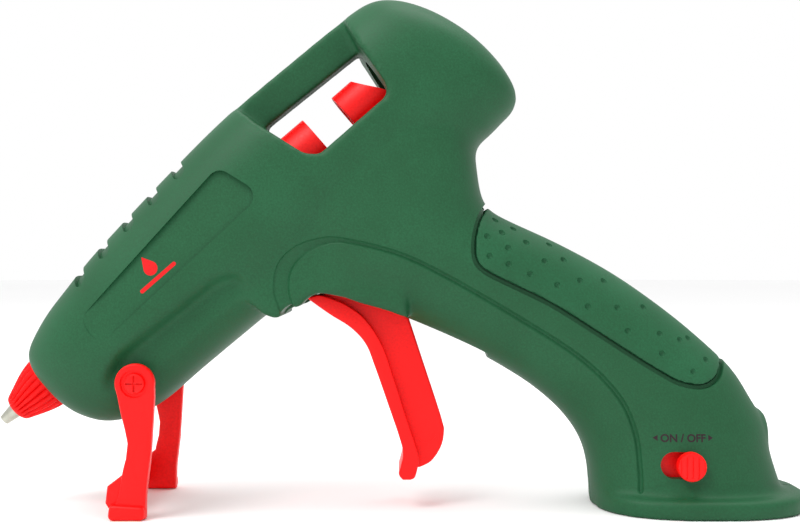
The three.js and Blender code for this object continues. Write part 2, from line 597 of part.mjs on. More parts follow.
const housing = housingSolid();
const HALF_SEAM = GAP / 2;
const leftSide = toSolid(box(-200, 200, -FULL, -HALF_SEAM, -10, 200));
const rightSide = toSolid(box(-200, 200, HALF_SEAM, FULL, -10, 200));
add(gun, 'housing_left', housing.intersect(leftSide), GREEN, 0.6);
add(gun, 'housing_right', housing.intersect(rightSide), GREEN, 0.6);
add(gun, 'grip_pad', gripLayer(0, PAD_DEPTH, 0), 0x336344, 0.75);

add(barrel, 'nozzle', nozzle(), STEEL, 0.35, 1);
add(barrel, 'nozzle_cap', nozzleCap(), 0xf20f0f, 0.6);
add(barrel, 'melt_chamber', chamberSolid(), 0xb7babd, 0.5, 1);
add(barrel, 'ptc_heater', box(44, 74, -7.5, 7.5, -14.2, -11.3), 0x8f8a80, 0.6);
add(barrel, 'heater_insulator', box(43, 75, -8.4, 8.4, -15.4, -14.5), 0xb98a3a, 0.7);
add(barrel, 'heater_clip', heaterClip(), 0xa9abad, 0.4, 1);
add(barrel, 'inlet_sleeve', sleeveSolid(), RED, 0.5);
add(barrel, 'sleeve_clamp', bandRing(87.4, 90.6, 9.2 + GAP, 10.2), 0xa9abad, 0.4, 1);

add(barrel, 'feed_carriage', carriageSolid(), RED, 0.5);
add(barrel, 'gripper', gripperSolid(), 0x9a9c9e, 0.4, 1);
add(barrel, 'gripper_pin', smallPin(GRIPPER_PIN, SMALL_PIN_RADIUS, 7.4), STEEL, 0.3, 1);
add(barrel, 'feed_link', linkSolid(), 0x2b2b2b, 0.6);
add(barrel, 'link_pin', smallPin(LINK_PIN, SMALL_PIN_RADIUS, 5.6), STEEL, 0.3, 1);
add(barrel, 'bite_pin', smallPin(BITE_PIN, SMALL_PIN_RADIUS, 4.6), STEEL, 0.3, 1);

const springStart = 142;
const springEnd = SPRING_POST.along - 2;
const returnSpring = add(barrel, 'return_spring',
  wire(new Coil(springEnd - springStart, 2, 7), 0.4, 5, 56), STEEL, 0.3, 1);
returnSpring.position.set(springStart, 0, SPRING_POST.up);

add(gun, 'trigger', triggerSolid(), RED, 0.5);
const triggerHub = sideView(TRIGGER_PIVOT);
add(gun, 'trigger_pin', crossBar(triggerHub.x, triggerHub.y, TRIGGER_PIN.radius,
  -TRIGGER_PIN.halfLength, TRIGGER_PIN.halfLength), STEEL, 0.3, 1);

add(gun, 'stand', standSolid(), RED, 0.5);
const standHub = sideView(STAND_PIVOT);
const STAND_SCREW_PROUD = 1.5;
for (const [name, side] of [['stand_screw_left', -1], ['stand_screw_right', 1]]) {
  const piece = add(gun, name, screw(STAND_SCREW), RED, 0.5);
  piece.position.set(standHub.x, side * (STAND_OUTER + STAND_SCREW_PROUD), standHub.y);
  piece.rotation.z = side < 0 ? Math.PI : 0;
}

const headTop = SCREW.seat + GAP + SCREW.headHeight;
screwPlaces.forEach(({ x, y: z }, i) => {
  const shape = screw({ ...SCREW, length: headTop - SCREW.tip });
  const piece = add(gun, `housing_screw_${i + 1}`, shape, STEEL, 0.3, 1);
  piece.position.set(x, headTop, z);
});

add(gun, 'switch_slider', switchSlider(), 0xff1a1a, 0.4);
const switchBody = box(SWITCH.x - 10.4, SWITCH.x + 10.2, -13.4, -8.4, SWITCH.z - 5, SWITCH.z + 5);
add(gun, 'switch_body', switchBody, 0x202020, 0.6);
const bush = toSolid(inletBar(CORD_INLET.bush, CORD_INLET.from, CORD_INLET.to + CORD_INLET.bushLip));
const cordHole = toSolid(inletBar(CORD_INLET.hole, CORD_INLET.from - 5, CORD_INLET.to + 5));
add(gun, 'cord_inlet_grommet', bush.subtract(cordHole), 0x1c1c1c, 0.8);

export default gun;
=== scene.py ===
# A hot melt glue gun: two moulded housing halves around a heated barrel, a stick feed worked by a trigger,
# a fold-away front stand and a slide switch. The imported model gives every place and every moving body.
import json
import math

import bmesh
import bpy
from mathutils import Matrix, Vector
from mathutils.bvhtree import BVHTree
from mathutils.kdtree import KDTree


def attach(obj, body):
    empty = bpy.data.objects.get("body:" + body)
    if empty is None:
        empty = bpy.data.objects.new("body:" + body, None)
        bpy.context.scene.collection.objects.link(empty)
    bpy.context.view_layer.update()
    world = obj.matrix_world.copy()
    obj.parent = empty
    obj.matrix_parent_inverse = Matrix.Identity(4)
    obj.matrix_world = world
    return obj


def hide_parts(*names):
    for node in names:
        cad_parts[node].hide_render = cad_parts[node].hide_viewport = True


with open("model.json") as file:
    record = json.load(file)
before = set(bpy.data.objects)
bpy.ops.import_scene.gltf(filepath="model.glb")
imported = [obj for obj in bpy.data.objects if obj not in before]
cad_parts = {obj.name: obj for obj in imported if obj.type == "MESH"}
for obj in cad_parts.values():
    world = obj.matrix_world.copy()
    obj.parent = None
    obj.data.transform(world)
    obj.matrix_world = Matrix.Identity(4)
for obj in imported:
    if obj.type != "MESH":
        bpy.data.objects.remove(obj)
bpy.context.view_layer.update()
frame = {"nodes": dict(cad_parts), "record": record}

# ------------------------------------------------------------------ studio
# A white room with two large soft lights, the stronger one above on the left, the other high over the gun.
# The camera stands level with the middle of the gun, square to its left side.
CAMERA_DISTANCE = 0.330
CAMERA_HEIGHT = 0.0676
LENS = 53.1

world = bpy.data.worlds.new("white_room")
bpy.context.scene.world = world
world.use_nodes = True
world.node_tree.nodes["Background"].inputs["Color"].default_value = (1.0, 1.0, 1.0, 1.0)
world.node_tree.nodes["Background"].inputs["Strength"].default_value = 1.0
bpy.context.scene.view_settings.view_transform = "Standard"

camera = bpy.data.objects.new("camera", bpy.data.cameras.new("camera"))
camera.data.lens = LENS
camera.data.sensor_width = 36.0
camera.data.clip_start = 0.01
camera.location = (0.0, -CAMERA_DISTANCE, CAMERA_HEIGHT)
camera.rotation_euler = (math.radians(90), 0.0, 0.0)
bpy.context.collection.objects.link(camera)
bpy.context.scene.camera = camera


def soft_light(name, place, target, width, power):
    lamp = bpy.data.objects.new(name, bpy.data.lights.new(name, "AREA"))
    lamp.data.shape = "DISK"
    lamp.data.size = width
    lamp.data.energy = power
    lamp.location = place
    lamp.rotation_euler = (Vector(target) - Vector(place)).to_track_quat("-Z", "Y").to_euler()
    bpy.context.collection.objects.link(lamp)


soft_light("key_light", (-0.45, -0.35, 0.75), (0.0, 0.0, 0.07), 0.5, 4.5)
soft_light("top_light", (0.15, 0.1, 0.9), (0.0, 0.0, 0.05), 0.6, 3.5)


def linear(hex_colour):
    """An sRGB hex colour as the linear colour that a shader takes."""
    channels = [int(hex_colour[i:i + 2], 16) / 255 for i in (1, 3, 5)]
    return tuple(c / 12.92 if c <= 0.04045 else ((c + 0.055) / 1.055) ** 2.4 for c in channels) + (1.0,)


def add_node(material, kind, settings=None, links=None):
    """Adds one node: settings go by name to its sockets or fields, and links by name to its sockets."""
    node = material.node_tree.nodes.new(kind)
    for name, value in (settings or {}).items():
        if name in node.inputs:
            node.inputs[name].default_value = value
        else:
            setattr(node, name, value)
    for name, source in (links or {}).items():
        material.node_tree.links.new(source, node.inputs[name])
    return node


def new_object(name, bm, material=None, smooth_angle=35.0):
    """Makes a mesh object from a bmesh, smooth except over edges sharper than the angle."""
    bmesh.ops.recalc_face_normals(bm, faces=bm.faces)
    for face in bm.faces:
        face.smooth = True
    for edge in bm.edges:
        edge.smooth = len(edge.link_faces) != 2 or edge.calc_face_angle(0.0) < math.radians(smooth_angle)
    mesh = bpy.data.meshes.new(name)
    bm.to_mesh(mesh)
    bm.free()
    piece = bpy.data.objects.new(name, mesh)
    bpy.context.collection.objects.link(piece)
    if material:
        mesh.materials.append(material)
    return piece


# ------------------------------------------------------------------ housing form
# The outside of the two moulded halves before it is split. A barrel lofted along the glue stick's path, a
# grip lofted down to the foot, the oval foot flange, the trigger's boss and the cord's swell blend into one
# form, with a window right through the barrel.
MM = 0.001
joints = {joint["name"]: joint for joint in frame["record"]["behaviour"]["joints"]}
ALONG = -Vector(joints["carriage_feed"]["axis"]).normalized()    # from the nozzle up the stick's path
UP = Vector((-ALONG.z, 0.0, ALONG.x))                            # square to it, towards the barrel's top
STAND_ALONG, STAND_UP = 39.2, -17.8
nozzle_tip = Vector(joints["stand_fold"]["pos_m"]) - (STAND_ALONG * ALONG + STAND_UP * UP) * MM


def barrel_place(along, up, side=0.0):
    """A place in the barrel: millimetres up the stick's path, above it, and to the side."""
    return nozzle_tip + (along * ALONG + up * UP) * MM + Vector((0.0, side * MM, 0.0))


def side_place(x, z, side=0.0):
    """A place in side view, in millimetres from the gun's own origin, and to the side."""
    return Vector((x, side, z)) * MM


def barrel_outline(*places):
    return [barrel_place(*place) for place in places]


def side_outline(*places):
    return [side_place(*place) for place in places]


def spline(rows, steps):
    """Catmull-Rom rows of numbers through the given rows, with the given steps between two of them."""
    padded = [rows[0]] + list(rows) + [rows[-1]]
    fine = []
    for a, b, c, d in zip(padded, padded[1:], padded[2:], padded[3:]):
        for step in range(steps):
            t = step / steps
            fine.append([0.5 * (2 * q + (r - p) * t + (2 * p - 5 * q + 4 * r - s) * t ** 2
                                + (3 * q - p - 3 * r + s) * t ** 3) for p, q, r, s in zip(a, b, c, d)])
    return fine + [list(rows[-1])]


def rounded(value, squareness):
    """A circle's coordinate, moved out to a rounded square's."""
    return math.copysign(abs(value) ** (2 / squareness), value)


def skin(bm, sections, sides):
    """Skins sections (front point, back point, half width in metres, squareness) with rings and bridges."""
    rings = []
    for front, back, half, squareness in sections:
        ring = bmesh.ops.create_circle(bm, cap_ends=False, radius=1.0, segments=sides)["verts"]
        for vert in ring:
            run, across = rounded(vert.co.y, squareness), rounded(vert.co.x, squareness)
            vert.co = (front + back) / 2 + (back - front) / 2 * run + Vector((0.0, across * half, 0.0))
        rings.append(list({edge for vert in ring for edge in vert.link_edges}))
    for first, second in zip(rings, rings[1:]):
        bmesh.ops.bridge_loops(bm, edges=first + second)
    bmesh.ops.edgeloop_fill(bm, edges=rings[0])
    bmesh.ops.edgeloop_fill(bm, edges=rings[-1])
    bmesh.ops.recalc_face_normals(bm, faces=bm.faces)


# Barrel sections square to the stick's path: along, top, bottom, half width.
BARREL_SECTIONS = [
    (17.5, 7.0, -9.2, 9.0), (17.9, 8.2, -12.0, 10.9), (19.6, 10.0, -15.8, 13.4), (23.2, 11.7, -20.2, 16.2),
    (30.0, 13.9, -23.8, 19.2), (38.6, 15.6, -25.5, 21.0), (52.0, 17.9, -25.6, 21.8),
    (80.0, 20.8, -26.3, 22.0), (103.0, 22.3, -27.2, 22.0), (127.0, 21.9, -28.4, 21.5),
    (143.0, 21.3, -29.6, 20.6), (153.0, 20.0, -29.6, 19.6), (159.0, 15.8, -29.2, 18.3),
    (163.9, 8.2, -28.6, 16.4), (167.3, -1.0, -25.8, 12.4), (169.0, -9.0, -19.6, 6.0)]
BARREL_SQUARE = 2.35

# Grip sections from its front edge to its back edge: x, z of both, half width, squareness.
GRIP_SECTIONS = [
    (-30.5, 75.0, 10.5, 109.5, 20.6, 3.6), (-25.0, 68.0, 19.8, 99.5, 20.6, 3.4),
    (-19.6, 59.2, 22.2, 87.0, 20.2, 3.0), (-3.6, 53.7, 25.4, 81.4, 18.9, 2.7),
    (8.4, 48.6, 43.7, 72.7, 17.3, 2.5), (19.3, 43.3, 58.2, 64.9, 16.3, 2.3),
    (27.6, 38.8, 70.3, 56.7, 16.0, 2.3), (36.0, 33.5, 81.2, 48.1, 16.0, 2.3),
    (42.9, 27.8, 91.6, 38.3, 16.3, 2.3), (47.7, 22.3, 97.4, 29.3, 17.0, 2.3),
    (50.7, 16.9, 101.1, 22.6, 17.6, 2.3), (52.2, 11.4, 102.5, 15.0, 18.3, 2.3),
    (52.7, 6.9, 104.6, 8.0, 19.5, 2.3), (53.2, 2.5, 106.4, 2.5, 20.5, 2.3)]


def barrel_form(inset=0.0, sides=72, steps=5):
    """The barrel's solid, moved in by an inset in millimetres where it is the hollow."""
    bm = bmesh.new()
    rows = [row for row in spline(BARREL_SECTIONS, steps)
            if inset == 0 or 16 + inset < row[0] < 168.5 - inset]
    skin(bm, [(barrel_place(along, top - inset), barrel_place(along, bottom + inset), (half - inset) * MM,
               BARREL_SQUARE) for along, top, bottom, half in rows], sides)
    return bm


def grip_form(inset=0.0, sides=64, steps=5):
    """The grip's solid, moved in by an inset in millimetres where it is the hollow."""
    bm = bmesh.new()
    sections = []
    for x0, z0, x1, z1, half, squareness in spline(GRIP_SECTIONS, steps):
        front, back = side_place(x0, z0), side_place(x1, z1)
        inward = (back - front).normalized() * inset * MM
        sections.append((front + inward, back - inward, (half - inset) * MM, squareness))
    skin(bm, sections, sides)
    return bm


FOOT_X, FOOT_HALF_LENGTH, FOOT_HALF_WIDTH, FOOT_THICKNESS, FOOT_SQUARE = 82.4, 29.2, 24.5, 5.0, 2.5


def thicken(bm, vec):
    """Extrudes flat faces into closed solids."""
    pushed = bmesh.ops.extrude_face_region(bm, geom=list(bm.faces))["geom"]
    bmesh.ops.translate(bm, verts=[item for item in pushed if isinstance(item, bmesh.types.BMVert)], vec=vec)
    bmesh.ops.recalc_face_normals(bm, faces=bm.faces)


def foot_form():
    bm = bmesh.new()
    for vert in bmesh.ops.create_circle(bm, cap_ends=True, radius=1.0, segments=96)["verts"]:
        vert.co = side_place(FOOT_X + FOOT_HALF_LENGTH * rounded(vert.co.x, FOOT_SQUARE), 0.0,
                             FOOT_HALF_WIDTH * rounded(vert.co.y, FOOT_SQUARE))
    thicken(bm, (0.0, 0.0, FOOT_THICKNESS * MM))
    return bm


def solid_object(name, bm):
    """An object for a solid that is still to be cut, joined or finished."""
    mesh = bpy.data.meshes.new(name)
    bm.to_mesh(mesh)
    bm.free()
    piece = bpy.data.objects.new(name, mesh)
    bpy.context.collection.objects.link(piece)
    return piece


def opened(piece):
    """A bmesh of a piece's mesh, to work on."""
    bm = bmesh.new()
    bm.from_mesh(piece.data)
    return bm


def closed(bm, piece):
    """Writes a bmesh back to its piece."""
    bm.to_mesh(piece.data)
    bm.free()


def combine(piece, operation, *others):
    """Joins, cuts or keeps what is common to a solid and other solids, which are used up."""
    for other in others:
        change = piece.modifiers.new(operation, "BOOLEAN")
        change.operation = operation
        change.solver = "MANIFOLD"
        change.object = other
        settle(piece)
        bpy.data.objects.remove(other)
    return piece


def settle(piece):
    """Applies a piece's modifiers to its mesh."""
    graph = bpy.context.evaluated_depsgraph_get()
    mesh = bpy.data.meshes.new_from_object(piece.evaluated_get(graph))
    piece.modifiers.clear()
    old, piece.data = piece.data, mesh
    bpy.data.meshes.remove(old)


def even_skin(piece, voxel):
    """Joins what a solid is made of into one skin of small even faces."""
    remesh = piece.modifiers.new("even_skin", "REMESH")
    remesh.mode = "VOXEL"
    remesh.voxel_size = voxel
    settle(piece)


def side_solid(outline, near, far):
    """A bmesh from a closed side-view outline of points, between two sideways places in millimetres."""
    bm = bmesh.new()
    bm.faces.new([bm.verts.new(Vector((point.x, near * MM, point.z))) for point in outline])
    thicken(bm, (0.0, (far - near) * MM, 0.0))
    return bm


def slab(outline, near, far):
    return solid_object("slab", side_solid(outline, near, far))


def turned_form(profile, origin=nozzle_tip, axis=ALONG, outward=UP, sides=64, bevel=0.0):
    """Turns a closed (along, radius) profile in millimetres about an axis, the stick's path if not told."""
    bm = bmesh.new()
    bm.faces.new([bm.verts.new(origin + (along * axis + radius * outward) * MM) for along, radius in profile])
    if bevel:
        off_axis = [vert for vert in bm.verts if (vert.co - origin).cross(axis).length > 0.01 * MM]
        bmesh.ops.bevel(bm, geom=off_axis, offset=bevel * MM, segments=3, profile=0.5, affect="VERTICES",
                        material=-1, clamp_overlap=True)
    bmesh.ops.delete(bm, geom=list(bm.faces), context="FACES_ONLY")
    bmesh.ops.spin(bm, geom=list(bm.verts) + list(bm.edges), cent=origin, axis=axis, angle=2 * math.pi,
                   steps=sides, use_merge=True)
    bmesh.ops.remove_doubles(bm, verts=bm.verts, dist=0.002 * MM)
    bmesh.ops.dissolve_degenerate(bm, edges=bm.edges, dist=0.001 * MM)
    bmesh.ops.recalc_face_normals(bm, faces=bm.faces)
    return solid_object("turned", bm)


REACH = 60.0                         # past the body on both sides
STRAP_HALF_WIDTH = 3.8
window_outline = barrel_outline((108.0, 12.9), (112.2, -1.4), (115.0, -4.3), (138.4, -4.3), (140.4, -2.4),
                                (142.2, 11.4))
strap_space = barrel_outline((108.0, 12.9), (142.2, 11.4), (146.6, 32.0), (104.4, 32.0))

# The boss that carries the trigger hangs a little below the barrel, with two small swells on its lower edge.
BOSS_HALF_WIDTH = 17.8
trigger_boss = side_outline(
    (-44.0, 60.0), (-36.7, 53.6), (-34.1, 52.5), (-32.1, 52.4), (-30.7, 54.3), (-29.5, 55.2), (-27.0, 55.3),
    (-25.8, 56.2), (-25.0, 57.4), (-24.0, 58.2), (-21.2, 59.2), (-17.3, 58.4), (-14.6, 57.9), (-11.2, 56.6),
    (-3.3, 54.4), (2.3, 52.3), (0.0, 70.0), (-20.0, 80.0), (-40.0, 70.0))

# The cord enters low on the grip's back edge, through a swell that has a hole for its bush.
CORD_Z, BUSH_RADIUS, CORD_HOLE = 19.2, 4.6, 3.4
CORD_FROM, CORD_TO, BUSH_LIP = 96.6, 101.3, 0.3
EAST = Vector((1.0, 0.0, 0.0))
HIGH = Vector((0.0, 0.0, 1.0))
cord_origin = side_place(0.0, CORD_Z)
cord_swell = turned_form([(90.0, 0.0), (90.0, 9.2), (96.0, 8.8), (CORD_TO - 0.6, 7.0), (CORD_TO + 0.2, 5.8),
                          (CORD_TO + 0.2, 0.0)], cord_origin, EAST, HIGH)

BODY_VOXEL = 0.75 * MM
body = solid_object("housing_body", barrel_form())
combine(body, "UNION", solid_object("grip", grip_form()), solid_object("foot", foot_form()), cord_swell,
        slab(trigger_boss, -BOSS_HALF_WIDTH, BOSS_HALF_WIDTH))
combine(body, "DIFFERENCE", slab(window_outline, -REACH, REACH),
        slab(strap_space, -REACH, -STRAP_HALF_WIDTH), slab(strap_space, STRAP_HALF_WIDTH, REACH))
even_skin(body, BODY_VOXEL)


def segment_gap(point, a, b):
    """How far a side-view point lies from the stretch between two others, in metres."""
    run, reach = b - a, point - a
    t = max(0.0, min(1.0, (reach.x * run.x + reach.z * run.z) / max(run.x ** 2 + run.z ** 2, 1e-12)))
    return math.hypot(reach.x - run.x * t, reach.z - run.z * t)


def in_side_view(co):
    return Vector((co.x, 0.0, co.z))


def relax(bm, verts, rounds):
    for _ in range(rounds):
        bmesh.ops.smooth_vert(bm, verts=verts, factor=0.5, use_axis_x=True, use_axis_y=True, use_axis_z=True)


def smooth_form(piece, rounds, near=None):
    """Rounds an even skin's corners as a mould's radii do, all over or where near says so."""
    bm = opened(piece)
    relax(bm, [vert for vert in bm.verts if near is None or near(vert.co)], rounds)
    closed(bm, piece)


# The grip grows out of the barrel with no edge between them, and out of the foot's flange in a soft curve.
BODY_ROUNDS, ROOT_ROUNDS, FLANGE_ROUNDS = 6, 70, 7
GRIP_ROOT = barrel_outline((97.0, -25.5), (118.0, -26.5)) + side_outline((17.0, 98.0), (22.0, 86.0))
ROOT_REACH, FLANGE_FROM, FLANGE_TO, FLANGE_FRONT = 8.5 * MM, 0.8 * MM, 10.0 * MM, 40 * MM


def at_grip_root(co):
    point = in_side_view(co)
    return min(segment_gap(point, a, b) for a, b in zip(GRIP_ROOT, GRIP_ROOT[1:])) < ROOT_REACH


def at_flange(co):
    return FLANGE_FROM < co.z < FLANGE_TO and co.x > FLANGE_FRONT


smooth_form(body, BODY_ROUNDS)
smooth_form(body, ROOT_ROUNDS, at_grip_root)
smooth_form(body, FLANGE_ROUNDS, at_flange)


# ------------------------------------------------------------------ housing relief
# What the mould adds to the outside: soft flat seats for the folded stand and round the switch, a flat label
# panel, five finger pockets on top, the parting line, and a crescent step round the trigger's boss that runs
# on as a groove down the grip.
ARC_STEPS = 6


def rounded_outline(corners, *radii):
    """A side-view outline with its corners turned into arcs, of one radius in millimetres or one for each."""
    outline = []
    for i, corner in enumerate(corners):
        radius = radii[i % len(radii)] * MM
        if radius <= 0:
            outline.append(corner.copy())
            continue
        before = (corners[i - 1] - corner).normalized()
        after = (corners[(i + 1) % len(corners)] - corner).normalized()
        half_angle = before.angle(after) / 2
        middle = corner + (before + after).normalized() * radius / math.sin(half_angle)
        start = corner + before * radius / math.tan(half_angle) - middle
        end = corner + after * radius / math.tan(half_angle) - middle
        for step in range(ARC_STEPS + 1):
            outline.append(middle + start.slerp(end, step / ARC_STEPS, start).normalized() * radius)
    return outline


def signed_distance(point, outline):
    """How far a side-view point lies inside a closed outline, in metres, negative outside."""
    inside, nearest = False, 1.0
    for a, b in zip(outline, outline[1:] + outline[:1]):
        nearest = min(nearest, segment_gap(point, a, b))
        if (a.z > point.z) != (b.z > point.z) and point.x < a.x + (point.z - a.z) / (b.z - a.z) * (b.x - a.x):
            inside = not inside
    return nearest if inside else -nearest


def smooth_step(value, low, high):
    """Rises smoothly from 0 at the low value to 1 at the high one."""
    t = max(0.0, min(1.0, (value - low) / (high - low)))
    return t * t * (3 - 2 * t)


def press_flat(bm, outline, flat_side, softness, sides=(-1, 1)):
    """Presses the skin inside a side-view outline to a flat, with a soft edge, in millimetres."""
    flat_side, softness = flat_side * MM, softness * MM
    low, high = min(p.z for p in outline) - 2 * softness, max(p.z for p in outline) + 2 * softness
    left, right = min(p.x for p in outline) - 2 * softness, max(p.x for p in outline) + 2 * softness
    for vert in bm.verts:
        co = vert.co
        side = math.copysign(1.0, co.y)
        if abs(co.y) < flat_side or side not in sides or not (low < co.z < high and left < co.x < right):
            continue
        weight = smooth_step(signed_distance(in_side_view(co), outline), -softness, softness)
        co.y = side * (abs(co.y) + (flat_side - abs(co.y)) * weight)


SEAT_SIDE, SEAT_SOFTNESS = 17.6, 1.5
stand_seat = rounded_outline(barrel_outline((31.5, -12.4), (40.5, -9.6), (72.5, -11.3), (77.6, -13.4),
                                            (77.4, -36.0), (30.0, -36.0)), 5.5, 4, 3.5, 2.5, 0, 0)

# The switch's slot, in a soft flat, with room for the shutter behind the wall.
SWITCH_X, SWITCH_Z, SLOT_HALF, SLOT_HIGH = 74.7, 13.5, 5.65, 3.55
SWITCH_FACE, SHUTTER_FACE, KNOB_RADIUS, SWITCH_TRAVEL = 18.4, 13.9, 3.85, 3.8
SWITCH_RIM, SWITCH_SOFTNESS = 2.4, 1.6


def obround(half_length, half_height, steps=16):
    """A round-ended outline about the switch's middle."""
    straight = half_length - half_height
    outline = []
    for end in (1, -1):
        for step in range(steps + 1):
            turn = math.pi * (step / steps - 0.5)
            outline.append(side_place(SWITCH_X + end * (straight + half_height * math.cos(turn)),
                                      SWITCH_Z + end * half_height * math.sin(turn)))
    return outline


def path_of(places, steps):
    """A smooth side-view line through places in millimetres."""
    return [side_place(x, z) for x, z in spline(places, steps)]


# The crescent's outer edge rises from the underside, turns over the trigger boss and runs down the grip. Its
# width at each point is in millimetres, and it is deeper at its inner edge than at its outer one.
crescent_path = path_of([(-30.6, 50.5), (-32.2, 55.3), (-33.5, 60.2), (-32.5, 66.4), (-28.0, 71.2),
                         (-21.5, 73.6), (-14.6, 73.6), (0.0, 70.0), (13.5, 63.6), (33.8, 51.8), (49.0, 41.8),
                         (58.8, 31.8), (63.2, 22.0), (64.4, 12.0), (64.4, 6.8)], 12)
CRESCENT_WIDTHS = [3.6, 3.7, 4.0, 3.9, 3.2, 1.9, 1.2] + [1.1] * 8
GROOVE_DEPTH, OUTER_SHARE, OUTER_EDGE, INNER_EDGE = 0.9 * MM, 0.5, 0.24 * MM, 0.46 * MM
GROOVE_BAND, GROOVE_CUTS, GROOVE_REACH, GROOVE_SIDE = 1.3 * MM, 3, 6 * MM, 5 * MM


def groove_line():
    """The middle of the crescent and its groove, with the half width at each point, in metres."""
    line = []
    for i, point in enumerate(crescent_path):
        run = (crescent_path[min(i + 1, len(crescent_path) - 1)] - crescent_path[max(i - 1, 0)]).normalized()
        share = i / (len(crescent_path) - 1) * (len(CRESCENT_WIDTHS) - 1)
        low = min(int(share), len(CRESCENT_WIDTHS) - 2)
        width = CRESCENT_WIDTHS[low] + (CRESCENT_WIDTHS[low + 1] - CRESCENT_WIDTHS[low]) * (share - low)
        line.append((point + Vector((run.z, 0.0, -run.x)) * width / 2 * MM, width / 2 * MM))
    return line


def press_groove(bm):
    """Sinks the crescent and its groove into both sides, on a skin first made finer along their edges."""
    line = groove_line()
    tree = KDTree(len(line))
    for i, (point, _) in enumerate(line):
        tree.insert(point, i)
    tree.balance()

    def inside_by(co):
        """How far inside the band a place lies, and its share of the way from the outer to the inner edge."""
        point = in_side_view(co)
        _, i, away = tree.find(point)
        if away > GROOVE_REACH:
            return -away, 0.0
        stretches = [j for j in (i - 1, i) if 0 <= j < len(line) - 1]
        gap, j = min((segment_gap(point, line[j][0], line[j + 1][0]), j) for j in stretches)
        run, reach = line[j + 1][0] - line[j][0], point - line[j][0]
        inner = math.copysign(gap, reach.x * run.z - reach.z * run.x)
        return line[i][1] - gap, max(0.0, min(1.0, 0.5 + inner / (2 * line[i][1])))

    outer_skin = [vert for vert in bm.verts if abs(vert.co.y) > GROOVE_SIDE]
    edge_zone = {vert for vert in outer_skin if abs(inside_by(vert.co)[0]) < GROOVE_BAND}
    edges = [edge for edge in bm.edges if edge_zone.intersection(edge.verts)]
    bmesh.ops.subdivide_edges(bm, edges=edges, cuts=GROOVE_CUTS, use_grid_fill=True)
    bm.normal_update()
    moves = []
    for vert in bm.verts:
        inside, share = inside_by(vert.co)
        edge = OUTER_EDGE + (INNER_EDGE - OUTER_EDGE) * share
        if abs(vert.co.y) > GROOVE_SIDE and inside > -edge:
            floor = (OUTER_SHARE + (1 - OUTER_SHARE) * share) * GROOVE_DEPTH
            moves.append((vert, vert.normal * smooth_step(inside, -edge, edge) * floor))
    for vert, move in moves:
        vert.co -= move


relief = opened(body)
press_flat(relief, stand_seat, SEAT_SIDE, SEAT_SOFTNESS)
switch_seat = obround(SLOT_HALF + SWITCH_RIM, SLOT_HIGH + SWITCH_RIM)
press_flat(relief, switch_seat, SWITCH_FACE, SWITCH_SOFTNESS, (-1,))
relax(relief, list(relief.verts), 2)
press_groove(relief)
closed(relief, body)


def copy_of(piece):
    """A second object like another, with a mesh of its own."""
    copy = piece.copy()
    copy.data = piece.data.copy()
    bpy.context.collection.objects.link(copy)
    return copy


def sunk_copy(depth):
    """A copy of the body with its skin moved in by a depth in millimetres."""
    copy = copy_of(body)
    bm = opened(copy)
    bm.normal_update()
    moves = [vert.normal * (depth * MM) for vert in bm.verts]
    for vert, move in zip(bm.verts, moves):
        vert.co -= move
    closed(bm, copy)
    return copy


# The panel's corners, and how far (up, sideways) its flat face runs at its two long edges.
PANEL_LOW, PANEL_HIGH, PANEL_RADIUS = (-3.0, 21.05), (11.0, 18.65), 3.6
panel_corners = barrel_outline((38.2, -4.3), (97.0, -2.6), (92.8, 10.9), (39.3, 4.6))


def panel_cutter(side):
    """The space outside the flat label panel on one side."""
    bm = bmesh.new()
    slope = (PANEL_HIGH[1] - PANEL_LOW[1]) / (PANEL_HIGH[0] - PANEL_LOW[0])
    for point in rounded_outline(panel_corners, PANEL_RADIUS):
        above = (point - nozzle_tip).dot(UP) / MM
        out = side * (PANEL_LOW[1] + slope * (above - PANEL_LOW[0])) * MM
        bm.verts.new(point + Vector((0.0, out, 0.0)))
    bm.faces.new(bm.verts)
    thicken(bm, (0.0, side * 10 * MM, 0.0))
    return solid_object("panel_cutter", bm)


POCKETS, POCKET_FIRST, POCKET_PITCH, POCKET_DEPTH, POCKET_UP = 5, 44.6, 9.7, 1.15, 6.0
POCKET_HALF_WIDTH, POCKET_HALF_REACH = 1.95 * MM, 15.4 * MM


def pocket_cutter(number):
    """A round-ended bar across the barrel's top, reaching up from inside it."""
    bm = bmesh.new()
    middle = barrel_place(POCKET_FIRST + POCKET_PITCH * number, POCKET_UP)
    for vert in bmesh.ops.create_circle(bm, cap_ends=True, radius=POCKET_HALF_WIDTH, segments=32)["verts"]:
        side = math.copysign(POCKET_HALF_REACH - POCKET_HALF_WIDTH, vert.co.y) + vert.co.y
        vert.co = middle + ALONG * vert.co.x + Vector((0.0, side, 0.0))
    thicken(bm, UP * 20 * MM)
    return solid_object("pocket_cutter", bm)


SEAM_HALF_WIDTH, SEAM_DEPTH = 0.22, 0.35
wide_outline = [Vector((x, 0.0, z)) for x, z in ((-0.2, -0.05), (0.2, -0.05), (0.2, 0.2), (-0.2, 0.2))]
pockets = combine(pocket_cutter(0), "UNION", *[pocket_cutter(number) for number in range(1, POCKETS)])
combine(pockets, "DIFFERENCE", sunk_copy(POCKET_DEPTH))
seam = combine(slab(wide_outline, -SEAM_HALF_WIDTH, SEAM_HALF_WIDTH), "DIFFERENCE", sunk_copy(SEAM_DEPTH))
combine(body, "DIFFERENCE", pockets, seam, panel_cutter(-1), panel_cutter(1))


